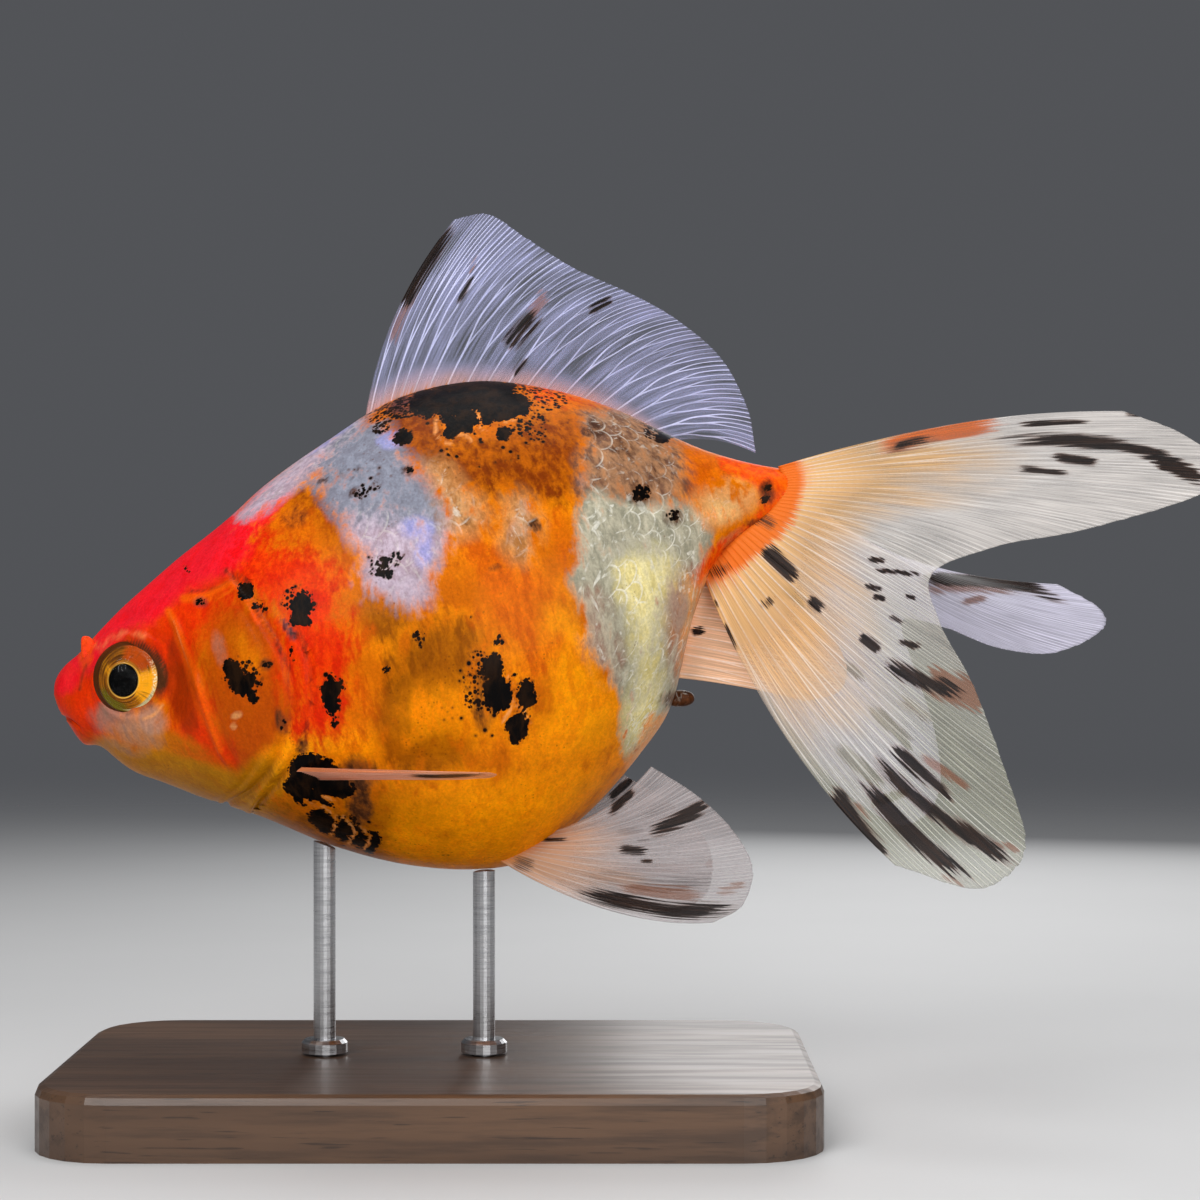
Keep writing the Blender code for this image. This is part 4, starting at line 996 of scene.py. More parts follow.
# %% Threads and freckles
THREAD = (0.84, 0.81, 0.71)
THREAD_COVER = 0.68
FRECKLE, FRECKLE_SPACING = (0.13, 0.03, 0.002), 0.42
PALE_SKIN = (("pearl", 0.4, 0.9, 1.0), ("mauve", 0.4, 1.0, 0.6), ("beige", 0.3, 0.8, 0.8),
             ("petal", 0.4, 0.9, 0.35))
HAIRS = ((0.5, 0.75), (-0.35, 0.6), (-1.1, 0.7))  # slant in radians, width in millimetres


def pale_threads(f, colour, rims, strand):
    """Bright rims and hairs where the skin is pale."""
    pale = 0.0
    for key, low, high, most in PALE_SKIN:
        pale = f.larger(pale, f.step(f.value(key), low, high, 0.0, most))
    pale = f.times(pale, f.step(f.value("head"), 0.5, 0.0))
    threads = f.times(rims, 0.95)
    for slant, width in HAIRS:
        hair = f.step(f.noise(width, 2, 0.5, twist=0.6, stretch=(1, 1, 0.13), tilt=slant), 0.60, 0.72)
        threads = f.larger(threads, f.times(hair, f.step(strand, 0.42, 0.60)))
    return f.mix(f.times(f.times(threads, pale), THREAD_COVER), colour, THREAD)


def freckles(f, colour, blotch):
    """Tiny brown dots, thick where the skin is mossy and in clouds elsewhere."""
    distance, lot = f.cells(FRECKLE_SPACING)
    dot = f.times(f.step(distance, 0.34, 0.16), f.step(lot, 0.5, 0.9))
    where = f.larger(f.step(f.value("moss"), 0.3, 0.8), f.step(blotch, 0.52, 0.64))
    return f.mix(f.times(f.times(dot, where), 0.5), colour, FRECKLE)


print("slants of hair:", len(HAIRS))

# %% [markdown]
# Black is compared with the distance to the middle of small random cells: where black is weak, only the
# middles turn black, and where it is strong, the dots run together. Each cell also draws a lot that makes
# its dot larger or smaller. Round a black patch lies a second, wider set of cells, for the few dots that
# stray far from it.

# %% Black dots
INK, BROWN_INK, DOT_EDGE = (0.002, 0.0015, 0.0015), (0.016, 0.007, 0.003), (0.10, 0.026, 0.004)
DOT_SPACING, STRAY_SPACING = 0.44, 0.85


def black_dots(f, colour, shake, rims, strand):
    """Ink over all the rest: solid, then dots that run together, then single dots."""
    black = f.value("black")
    distance, lot = f.cells(DOT_SPACING)
    chance = f.larger(f.step(black, 0.45, 0.75), f.step(lot, 0.0, 1.0, 0.45, 1.25))
    spread = f.times(shake, f.step(black, 0.0, 0.3, 0.0, 0.36))
    over = f.scaled(f.times(black, chance), 1.25, spread)
    over = f.minus(f.minus(over, distance), f.step(black, 0.38, 0.28))
    over = f.minus(over, f.times(rims, 0.55))
    distance, lot = f.cells(STRAY_SPACING)
    radius = f.times(f.step(black, 0.04, 0.34, 0.0, 0.36), f.step(lot, 0.25, 0.95))
    stray = f.minus(f.minus(radius, distance), f.step(black, 0.10, 0.05))
    over = f.larger(over, stray)
    colour = f.mix(f.times(f.step(over, -0.26, 0.06), 0.6), colour, DOT_EDGE)
    return f.mix(f.step(over, -0.02, 0.07), colour, f.mix(f.step(strand, 0.42, 0.66), INK, BROWN_INK))


print("spacing of the dots:", DOT_SPACING, "mm and", STRAY_SPACING, "mm")

# %% [markdown]
# Fish skin under its slime has a soft shine, and a thin sharper one on top, which is the clear coat. Both
# are kept low, because a wet fish under broad lamps soon looks like plastic.

# %% Skin material
def skin_finish():
    f = Finish("calico_skin")
    blotch = f.noise(5.5, 4, 0.6)
    strand = f.noise(1.5, 5, 0.62, twist=0.35, stretch=(1, 1, 0.34))
    wisp = f.noise(0.7, 4, 0.6, twist=0.3, stretch=(1, 1, 0.3), tilt=0.35)
    grain = f.noise(0.3, 3, 0.6)
    fine = f.plus(f.scaled(strand, 1.5, -0.75), f.scaled(wisp, 0.8, -0.4))
    shake = f.plus(f.scaled(blotch, 1.5, -0.75), fine)
    rims = f.times(f.step(f.value("rim"), 0.5, 0.85), f.step(blotch, 0.46, 0.62))
    colour = golden_ground(f, blotch, strand, wisp)
    colour = coloured_patches(f, colour, shake, blotch, strand, wisp)
    colour = pale_threads(f, colour, rims, strand)
    colour = freckles(f, colour, blotch)
    colour = f.shade(colour, f.step(grain, 0.25, 0.75, 0.86, 1.12))
    colour = f.shade(colour, f.step(blotch, 0.30, 0.70, 0.86, 1.10))
    return f.done({
        "Base Color": black_dots(f, colour, shake, rims, strand),
        "Roughness": f.step(grain, 0.2, 0.8, 0.32, 0.48),
        "Normal": f.bump(strand, 0.10, 0.45, f.bump(grain, 0.03, 0.8)),
        "Specular IOR Level": 0.03,
        "Coat Weight": 0.02,
        "Coat Roughness": 0.12,
    })


calico = skin_finish()
body_skin = add_piece("skin", skin_points, skin_faces, calico, marks)
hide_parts(*FLESH, "nostril_flap_left", "nostril_flap_right", "vent")
print("skin nodes:", len(calico.node_tree.nodes), "triangles:", 2 * len(skin_faces))

# %% [markdown]
# ## The coat of scales
#
# Scales are thin bony plates, each rooted under the one in front and free at its rear edge, like roof
# tiles. They run in rows from the gill to the tail, and every second row is shifted by half a scale. On a
# calico they are so clear that only their shine shows.
#
# One scale is a flat disc made from a square grid, with a top and a bottom that meet at the rim. It is laid
# on the body by adding its own two small coordinates to those of its root, so it bends with the surface.
# Its rear edge rises only two hundredths of a millimetre, which is enough to lie over the scale behind. All
# scales of one side are worked out at once and joined into one mesh.
#
# The last cell gives each scale a spot on the flat map called OFBake. The map is the body tube opened out,
# so a scale's spot lies where its root is: along the fish one way, round the body the other.

# %% Where scales root
COAT_FRONT = [(-16, 80), (-19.5, 75), (-21.4, 70), (-22.4, 64.5), (-20.6, 59.5), (-16.8, 54.6),
              (-14.9, 50.2), (-14.6, 45.8), (-15.8, 41.5), (-18.4, 37.9), (-21.5, 33.8), (-22, 26)]
SCALE_STEP = 2.3  # from one scale to the next in a row
ROWS_A_SIDE = 24
STALK_HALF_WIDTH = 7.5  # where the body is narrower than this, every second pair of rows is left out
HALF_HEIGHT, STALK_HALF_HEIGHT = 0.62, 1.25  # of a scale, in rows
TAIL_MARGIN = 1.5
NUDGE = 1e-4
distance_along = np.concatenate([[0], np.cumsum(moved)])


def scale_roots(side):
    """(along, turn, half height as a turn) of each scale of one side."""
    roots = []
    for row in range(ROWS_A_SIDE):
        turn = (row + 0.5) / (2 * ROWS_A_SIDE)
        turn = turn if side == "right" else 1 - turn
        first = 0.5 * (row % 2) * SCALE_STEP
        for place in np.arange(first, distance_along[-1] - TAIL_MARGIN, SCALE_STEP):
            along = float(np.interp(place, distance_along, trial))
            x, z = on_plan(body_point(np.array(along), np.array(turn)))
            on_stalk = body_point(np.array(along), np.array(0.25))[1] < STALK_HALF_WIDTH
            if behind(COAT_FRONT, x, z) < 0 or (on_stalk and (row // 2) % 2):
                continue
            roots.append((along, turn, (STALK_HALF_HEIGHT if on_stalk else HALF_HEIGHT) / (2 * ROWS_A_SIDE)))
    return np.array(roots)


def lifted(along, turn, lift):
    """Places at a height over the skin."""
    down = body_point(along + NUDGE, turn) - body_point(along - NUDGE, turn)
    round_body = body_point(along, turn + NUDGE) - body_point(along, turn - NUDGE)
    return body_point(along, turn) + unit(np.cross(down, round_body)) * (lift - COAT_DEPTH)[..., None]


print("the body is", distance_along[-1].round(1), "mm long over its skin")

# %% One scale
SCALE_GRID = 8
SCALE_RISE, SCALE_THICKNESS, ROOT_SINK = 0.022, 0.014, 0.01
HALF_LENGTH = 0.85  # of a scale, in steps, so that scales overlap
REARWARD = 0.55  # how far its middle lies behind its root, in half lengths


def scale_pattern():
    """One scale: places (-1 to 1) along and across, 1 on top or -1 below, which are on the rim, and faces."""
    ticks = np.linspace(-1, 1, SCALE_GRID + 1)
    b, a = np.meshgrid(ticks, ticks, indexing="ij")
    down, across = b * np.sqrt(1 - a * a / 2), a * np.sqrt(1 - b * b / 2)
    rim = np.maximum(np.abs(a), np.abs(b)) > 0.999
    size = (SCALE_GRID + 1) ** 2
    under = np.full(size, -1)
    under[rim.ravel()] = np.flatnonzero(rim.ravel())
    under[~rim.ravel()] = size + np.arange((~rim).sum())
    top = np.array(grid_faces(SCALE_GRID + 1, SCALE_GRID + 1))
    bottom = under[top][:, ::-1]
    keep = ~rim.ravel()
    down = np.concatenate([down.ravel(), down.ravel()[keep]])
    across = np.concatenate([across.ravel(), across.ravel()[keep]])
    face_side = np.concatenate([np.ones(size), -np.ones(keep.sum())])
    return down, across, face_side, np.concatenate([rim.ravel(), rim.ravel()[keep]]), np.vstack([top, bottom])


SCALE_DOWN, SCALE_ACROSS, SCALE_FACE, SCALE_RIM, SCALE_FACES = scale_pattern()
print("points of a scale:", len(SCALE_DOWN), "faces:", len(SCALE_FACES))

# %% Building the coat
COAT_END = 0.9985  # as far along as a scale may reach
UV_SPREAD = 0.0015


def coat(side):
    """One side's scales as one piece, and how many there are."""
    along, turn, half_turn = scale_roots(side).T[..., None]
    count = len(along)
    per_mm = np.gradient(trial, distance_along + np.arange(len(trial)) * 1e-9)
    pace = np.interp(along, trial, per_mm)
    flip = 1 if side == "right" else -1
    scale_along = along + (SCALE_DOWN + REARWARD) * SCALE_STEP * HALF_LENGTH * pace
    scale_turn = turn + flip * SCALE_ACROSS * half_turn
    disc = np.hypot(SCALE_DOWN, SCALE_ACROSS)[None, :]
    height = SCALE_RISE * (SCALE_DOWN + 1) / 2 - ROOT_SINK
    height = height + SCALE_FACE * SCALE_THICKNESS * (1 - disc**4) / 2
    points = lifted(np.minimum(scale_along, COAT_END), scale_turn, height * ease(1 - along, 0.0, 0.03))
    faces = SCALE_FACES if side == "right" else SCALE_FACES[:, ::-1]
    faces = (faces[None] + (np.arange(count) * len(SCALE_DOWN))[:, None, None]).reshape(-1, 4).tolist()
    values = markings(points)
    values["rim"] = np.broadcast_to(disc**4 * ease(SCALE_DOWN, -0.3, 0.3), (count, disc.shape[1]))
    uv = np.stack([along, turn], -1) + np.stack([SCALE_DOWN, SCALE_ACROSS], -1)[None] * UV_SPREAD
    return add_piece(f"scales_{side}", points, faces, calico, values, uv, np.tile(SCALE_RIM, count)), count


for side in SIDES:
    scales, count = coat(side)
    print(side, "scales:", count, "triangles:", 2 * len(scales.data.polygons))

# %% [markdown]
# ## Fins
#
# A fin is a net of bony rays with a thin clear membrane between them. Each ray starts single and stiff, and
# splits twice on its way out, so the margin is soft and finely fringed. Rays are built of short segments,
# which show as fine beads.
#
# The net of each fin is set by three curves: where it roots, where it ends, and how it bows in between. The
# curves follow the solid's own. On this net a wave of thickness makes the rays. One short formula finds the
# distance to the nearest ray: folding a distance in half with an absolute value turns one ray into two.
# Lanes are counted across the fin, one to each ray at the root.

# %% The net of a fin
RAY_SAMPLES = 12  # columns of points in a lane
FIRST_SPLIT, SECOND_SPLIT = (0.22, 0.5), (0.52, 0.78)  # shares of the length over which rays part
FIRST_PARTING, SECOND_PARTING = 0.25, 0.125  # in lanes, to each side
LENGTH, FRINGE, SCALLOP = 0.994, 0.002, 0.007  # shares: the margin's place, and how uneven it is
STROKE_BOOST = 1.12


def ray_pattern(lane, out):
    """Distance to the nearest ray in lanes, where each lane's ray splits into two and then into four."""
    from_middle = np.abs(lane % 1 - 0.5)
    once = np.abs(from_middle - FIRST_PARTING * ease(out, *FIRST_SPLIT))
    return np.abs(once - SECOND_PARTING * ease(out, *SECOND_SPLIT))


def streaks(x, z, marks):
    """The strongest of several strokes that weaken at both ends. Each is (line, half width, strength)."""
    strongest = np.zeros(np.shape(x))
    for line, width, strength in marks:
        away, share = line_distance(line, x, z, 2 + 5 * len(line))
        strength_here = STROKE_BOOST * strength * (0.1 + 0.9 * ease(np.sin(np.pi * share), 0, 0.9))
        strongest = np.maximum(strongest, strength_here * ease(away, 1.6 * width, 0.1 * width))
    return strongest


def fin_net(shape, side, swing, rays, rows, seed, ruffle):
    """A fin's middle surface and its normals, how far out it reaches as a share and in mm, and its lanes."""
    flip = np.array([1.0, -side, 1.0])
    root, edge, bow = (np.array(shape[key], float) * flip for key in ("root", "edge", "bow"))
    edge = edge + np.array(swing)
    across = np.linspace(0, 1, rays * RAY_SAMPLES + 1)
    lane = across * rays
    fray = np.random.default_rng(seed).uniform(-1, 1, rays * 4 + 1)
    fray = fray[np.minimum((lane * 4).astype(int), rays * 4)]
    length = LENGTH + FRINGE * fray + SCALLOP * wander(lane * 0.35, lane * 0.0, 3.0, seed + 5)
    out = np.linspace(0, 1, rows)[:, None] ** 0.95 * length[None, :]
    share = out / length
    r, e, b = (through(points, across)[None] for points in (root, edge, bow))
    net = r + (e - r) * out[..., None] + b * (4 * out * (1 - out))[..., None]
    normal = grid_normals(net)
    wave = wander(lane[None, :] * 0.16, share * 1.5, 2.0, seed)
    wave = wave + 0.5 * wander(lane[None, :] * 0.5, share * 2, 2.2, seed + 9)
    net = net + normal * (ruffle * wave * ease(share, 0.15, 1))[..., None]
    return net, normal, share, np.linalg.norm(e - r, axis=-1) * share, lane


def shell(net, normal, half):
    """Points and faces of a closed sheet, whose two skins lie this half thickness from the net."""
    rows, columns = half.shape
    front, back = net + normal * half[..., None], net - normal * half[..., None]
    faces = grid_faces(rows, 2 * columns, closed=True)
    last = (rows - 1) * 2 * columns
    for k in range(columns - 1):
        behind_k = 2 * columns - 1 - k
        faces.append([last + k, last + behind_k, last + behind_k - 1, last + k + 1])
        faces.append([k, k + 1, behind_k - 1, behind_k])
    return np.concatenate([front, back[:, ::-1]], axis=1), faces


print("rays at the margin for each at the root:", 4)

# %% A fin as a piece
MEMBRANE_HALF, MARGIN_HALF = 0.09, 0.02
RAY_NARROWEST, RAY_WIDEST, RAY_BLUNTEST = 0.025, 0.2, 0.09  # in lanes
SPINE_WIDTH, SIDE_TAPER = 0.55, 0.12  # in lanes
RAY_BREADTH, RAY_RELIEF = 0.55, 0.42  # shares of a fin's thickness
RAY_TAPER, MEMBRANE_TAPER, SPINE_TAPER = 0.65, 0.72, 0.6  # what each loses on the way out


def fin(name, nodes, shape, rays, rows, material, side=-1, swing=(0, 0, 0), black=(), brown=(),
        blaze=(), warm=(0.1, 0.7), thick=0.2, spine=0.0, seed=1, ruffle=0.35, lower_lobe_grey=None):
    """One fin as a closed thin shell with branching rays."""
    net, normal, share, reach, lane = fin_net(shape, side, swing, rays, rows, seed, ruffle)
    lane_width = np.linalg.norm(np.gradient(net, lane, axis=1), axis=-1)
    ray_width = RAY_BREADTH * thick * (1 - RAY_TAPER * share) / np.maximum(lane_width, 0.05)
    ray_width = np.clip(ray_width, RAY_NARROWEST, RAY_WIDEST)
    ray = hump(ray_pattern(lane[None, :], share), np.maximum(ray_width, RAY_BLUNTEST))
    half = MEMBRANE_HALF * (1 - MEMBRANE_TAPER * share) + thick * ray * RAY_RELIEF * ease(share, 0.95, 0.1)
    half = half + spine * hump(lane[None, :], SPINE_WIDTH) * (1 - SPINE_TAPER * share)
    half = half * (ease(lane, 0, SIDE_TAPER) * ease(rays - lane, 0, SIDE_TAPER))[None, :] + MARGIN_HALF
    points, faces = shell(net, normal, half)
    one_face = {
        "width": ray_width,
        "lane": np.broadcast_to(lane, ray.shape),
        "reach": reach,
        "share": share,
        "warm": ease(share, warm[1], warm[0]),
        "lower_lobe_grey": ease(lane / rays, *lower_lobe_grey)[None, :] * ease(share, 0.3, 0.8) if lower_lobe_grey else 0 * share,
    }
    values = {key: np.concatenate([field, field[:, ::-1]], axis=1) for key, field in one_face.items()}
    x, z = on_plan(points)
    for key, marks_of_key in (("black", black), ("brown", brown), ("blaze", blaze)):
        values[key] = streaks(x, z, marks_of_key)
    piece = add_piece(name, points, faces, material, values)
    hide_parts(*nodes)
    print(f"{name}: {rays} rays, {2 * len(faces)} triangles")


# %% [markdown]
# ## The fins' finish
#
# A fin is clear where there is only membrane and milky where there is bone. The material works out the
# distance to the nearest ray for itself, by the same folds as the shape, from two numbers of the mesh: the
# lane, and the share of the way out. So a ray stays sharp however few points the mesh has. Lines stretched
# along the rays, and small segments across them, make it silky. Near the root it is warm and less clear,
# because muscle and blood lie under it.
#
# Black, brown and orange marks run along the rays, so their noise is stretched the same way. The orange of
# the tail's root is called blaze, because Blender's renderer keeps the name flame for fire and would not
# hand it over.

# %% Rays and lines of the fin material
SEGMENT = 0.62  # length of a bead of bone, in millimetres


def fold(f, distance, halved):
    return f.math("ABSOLUTE", f.minus(distance, halved))


def rays_of(f, lane, share):
    """1 in the middle of a ray and 0 on the membrane."""
    once = fold(f, fold(f, f.math("FRACT", lane), 0.5), f.step(share, *FIRST_SPLIT, 0.0, FIRST_PARTING))
    to_ray = fold(f, once, f.step(share, *SECOND_SPLIT, 0.0, SECOND_PARTING))
    width = f.value("width")
    return f.step(to_ray, f.times(width, 1.5), f.times(width, 0.2))


def drawn_out(f, a_lane, a_mm, start, detail):
    """Noise drawn out along the rays, with this many changes to a lane and to a millimetre outwards."""
    return f.noise_at(f.times(f.value("lane"), a_lane), f.times(f.value("reach"), a_mm), start, detail)


print("beads of bone:", round(1 / SEGMENT, 1), "a millimetre")

# %% Marks of the fin material
LOWER_LOBE_GREY, BLAZE, FIN_BROWN = (0.30, 0.31, 0.225), (0.80, 0.17, 0.015), (0.26, 0.085, 0.03)
FIN_INK_EDGE, FIN_INK, WORN_INK = (0.16, 0.065, 0.03), (0.007, 0.005, 0.005), (0.05, 0.022, 0.012)


def fin_marks(f, colour, shake, fibre):
    """The colour with blaze, brown and black over it, and how solid brown and black make the fin."""
    blazing = f.step(f.frayed(f.value("blaze"), shake), 0.2, 0.8)
    browned = f.step(f.frayed(f.value("brown"), shake), 0.30, 0.75)
    black = f.frayed(f.value("black"), shake)
    inked = f.step(black, 0.42, 0.60)
    colour = f.mix(blazing, colour, BLAZE)
    colour = f.mix(f.times(browned, 0.8), colour, FIN_BROWN)
    colour = f.mix(f.times(f.step(black, 0.15, 0.45), 0.65), colour, FIN_INK_EDGE)
    colour = f.mix(inked, colour, f.mix(f.step(fibre, 0.45, 0.7), FIN_INK, WORN_INK))
    return colour, f.larger(f.times(inked, 0.85), f.times(browned, 0.5))


print("ink in three tones:", FIN_INK_EDGE, WORN_INK, FIN_INK)


# %% Fin material
def fin_finish(name, clear, warm, root_colour, membrane, bone, root_solid, root_reach=0.42):
    """A fin's material: its colours, how solid membrane, bone and root are, and how far the root reaches."""
    f = Finish(name)
    share, warmth = f.value("share"), f.value("warm")
    silk = drawn_out(f, 7.0, 0.12, 0.0, 3.0)
    fibre = drawn_out(f, 22.0, 0.10, 5.0, 2.0)
    stripe = drawn_out(f, 6.0, 0.09, 3.0, 4.0)
    cloud = drawn_out(f, 0.35, 0.09, 7.0, 3.0)
    vigour = f.step(drawn_out(f, 0.9, 0.03, 9.0, 1.0), 0.38, 0.62, 0.5, 1.0)
    ray = f.times(rays_of(f, f.value("lane"), share), vigour)
    beads = f.math("SINE", f.times(f.value("reach"), math.tau / SEGMENT))
    bead = f.times(f.step(beads, -0.2, 0.8), ray)
    clouded = f.plus(warmth, f.scaled(cloud, 0.9, -0.45))
    colour = f.mix(f.times(f.step(clouded, 0.1, 0.9), f.step(warmth, 0.0, 0.2)), clear, warm)
    # grey over the outer part of the tail's lower lobe, fading towards the fork
    colour = f.mix(f.times(f.value("lower_lobe_grey"), 0.85), colour, LOWER_LOBE_GREY)
    colour = f.shade(colour, f.step(silk, 0.32, 0.68, 0.86, 1.08))
    colour = f.shade(colour, f.step(fibre, 0.35, 0.65, 0.90, 1.08))
    pale = tuple(min(1.0, 0.5 + 0.55 * part) for part in clear)
    colour = f.mix(f.times(ray, 0.5), colour, pale)
    colour = f.mix(f.times(bead, 0.22), colour, pale)
    fingers = f.plus(share, f.scaled(stripe, 0.24, -0.12))
    colour = f.mix(f.step(fingers, 0.075, 0.005), colour, root_colour)
    colour, marked = fin_marks(f, colour, f.scaled(stripe, 3.2, -1.6), fibre)
    solid = f.plus(f.times(ray, bone - membrane), membrane)
    for field, low, least, most in ((silk, 0.3, -0.05, 0.06), (fibre, 0.35, -0.03, 0.04),
                                    (cloud, 0.3, -0.06, 0.06)):
        solid = f.plus(solid, f.step(field, low, 1 - low, least, most))
    solid = f.larger(solid, f.step(share, root_reach, 0.0, 0.0, root_solid))
    solid = f.larger(solid, marked)
    height = f.plus(f.times(bead, 0.3), f.times(ray, 0.5))
    return f.done({
        "Base Color": colour,
        "Alpha": f.math("MINIMUM", solid, 1.0),
        "Roughness": f.step(silk, 0.3, 0.7, 0.42, 0.55),
        "Normal": f.bump(height, 0.04, 0.5),
        "Specular IOR Level": 0.12,
        "Coat Weight": 0.02,
        "Coat Roughness": 0.25,
    })


# %% The six fin materials
ORANGE_ROOT = (0.80, 0.15, 0.01)
sail = fin_finish("sail_fin", (0.60, 0.62, 1.0), (0.80, 0.48, 0.48), (0.80, 0.30, 0.08),
                  0.10, 0.70, 0.52, 0.26)
veil = fin_finish("veil_fin", (0.74, 0.69, 0.65), (0.81, 0.49, 0.21), ORANGE_ROOT, 0.36, 0.57, 0.94)
bright_veil = fin_finish("bright_veil_fin", (0.80, 0.77, 0.92), (0.86, 0.6, 0.42), ORANGE_ROOT,
                         0.42, 0.78, 0.9)
soft = fin_finish("soft_fin", (0.42, 0.37, 0.37), (0.69, 0.39, 0.23), (0.78, 0.32, 0.08),
                  0.40, 0.50, 0.8, 0.5)
pink = fin_finish("pink_fin", (0.96, 0.72, 0.60), (0.96, 0.60, 0.38), (0.80, 0.42, 0.22), 0.72, 0.86, 1.0)
blade = fin_finish("blade_fin", (0.84, 0.36, 0.20), (0.80, 0.26, 0.10), ORANGE_ROOT, 0.40, 0.7, 1.0)
print("fin materials:", *(made.name for made in (sail, veil, bright_veil, soft, pink, blade)))

# %% [markdown]
# ## Back, belly and tail fins
#
# The back fin stands upright and begins with one thick ray. The belly fins, anal fins and tail come in
# pairs. The two halves of the tail don't hang alike: the left one is spread towards -Y, and the right one
# has swung up and away, so its upper lobe shows between the lobes of the left.

# %% Fin shapes
DORSAL = {
    "root": [(-8.6, 0, 77.6), (-2.5, 0, 80.8), (8, 0, 81.4), (18, 0, 79), (25, 0, 76)],
    "edge": [(1.6, 0.6, 101.4), (5.6, 1.4, 102.2), (9.6, 1.2, 99.6), (15, -0.4, 95.9), (21.6, -1.4, 92.7),
             (27.2, -0.8, 89.6), (32, 0.6, 85.6), (34.8, 1.4, 80.2), (35.7, 1, 74.9)],
    "bow": [(-1.7, 0, 0.7), (-0.4, 0, 1.9), (0.2, 0, 1)],
}
PECTORAL = {
    "root": [(-16, -12.6, 40), (-14, -13.6, 38.9)],
    "edge": [(5.8, -31.5, 40.7), (7.4, -27, 40.2), (6.6, -22.8, 39.8), (3.2, -20.4, 39.5)],
    "bow": [(0, -3.1, 0.1), (1, -1.6, 0.1)],
}
PELVIC = {
    "root": [(6.6, -5.8, 29.6), (9.1, -6, 30.7), (11.6, -5, 32.2)],
    "edge": [(30.4, -13, 23.4), (33.8, -14, 25.4), (34.6, -14.4, 29.2), (32.8, -13.2, 33.2),
             (29, -11, 36.8), (23.8, -8.8, 40)],
    "bow": [(0.5, -1.1, -2.1), (0.6, -1.4, -1), (0.9, -1.5, -0.7)],
}
RIGHT_PELVIC_SWING = (-3, 1.5, -2)
ANAL = {
    "root": [(26.2, -1.6, 49.6), (28.6, -1.6, 60.4)],
    "edge": [(41, -5, 47), (44.6, -5.6, 48.2), (45.6, -5.8, 51), (43.4, -5.4, 55), (38.6, -4.6, 59)],
    "bow": [(0.2, 0.1, 0.3), (0.6, 0, 0.2)],
}
TAIL_LEFT = {
    "root": [(38.2, -1.2, 73.2), (38.7, -2.7, 71.1), (37.2, -3.7, 68.3), (33.6, -4.0, 65.4),
             (29.4, -3, 61.6)],
    "edge": [(75.2, -10, 79), (82.2, -14, 76), (85, -17, 71.6), (77.8, -18, 68), (68.8, -17, 65.4),
             (60.4, -15.2, 63.9), (53.8, -14.4, 60.9), (54.6, -16.4, 55.4), (57.9, -19, 49.3),
             (60, -23, 42.2), (62.4, -26, 32.6), (58, -26, 28.2), (49.3, -22, 30.2)],
    "bow": [(0, 0.4, 1.5), (1, 0.2, 0.4), (-1.3, 1.4, -2.1)],
}
TAIL_RIGHT = {  # given for the left side like the others, and mirrored below
    "root": TAIL_LEFT["root"],
    "edge": [(76, -36, 60.3), (80.6, -34, 57), (80, -31, 54), (74, -27, 51.9), (66.4, -23, 52.6),
             (59.4, -19.6, 54.8), (54.2, -17.4, 55.8), (56, -20, 49.6), (59, -25, 42.6), (60, -28, 36),
             (58.4, -30, 31.6), (55, -29.4, 30.2), (49.6, -26, 33.2)],
    "bow": [(-4.1, -5, -2.5), (1.3, -1.8, -1.6), (-0.7, 0.2, -1.5)],
}
print("fin shapes:", "back, breast, belly, rear, left tail, right tail")

# %% [markdown]
# Each dark stroke on a fin is a line on the plan with a half width and a strength, in the direction of the
# rays. Marks for the tail's right half have lists of their own, because its two halves don't match.

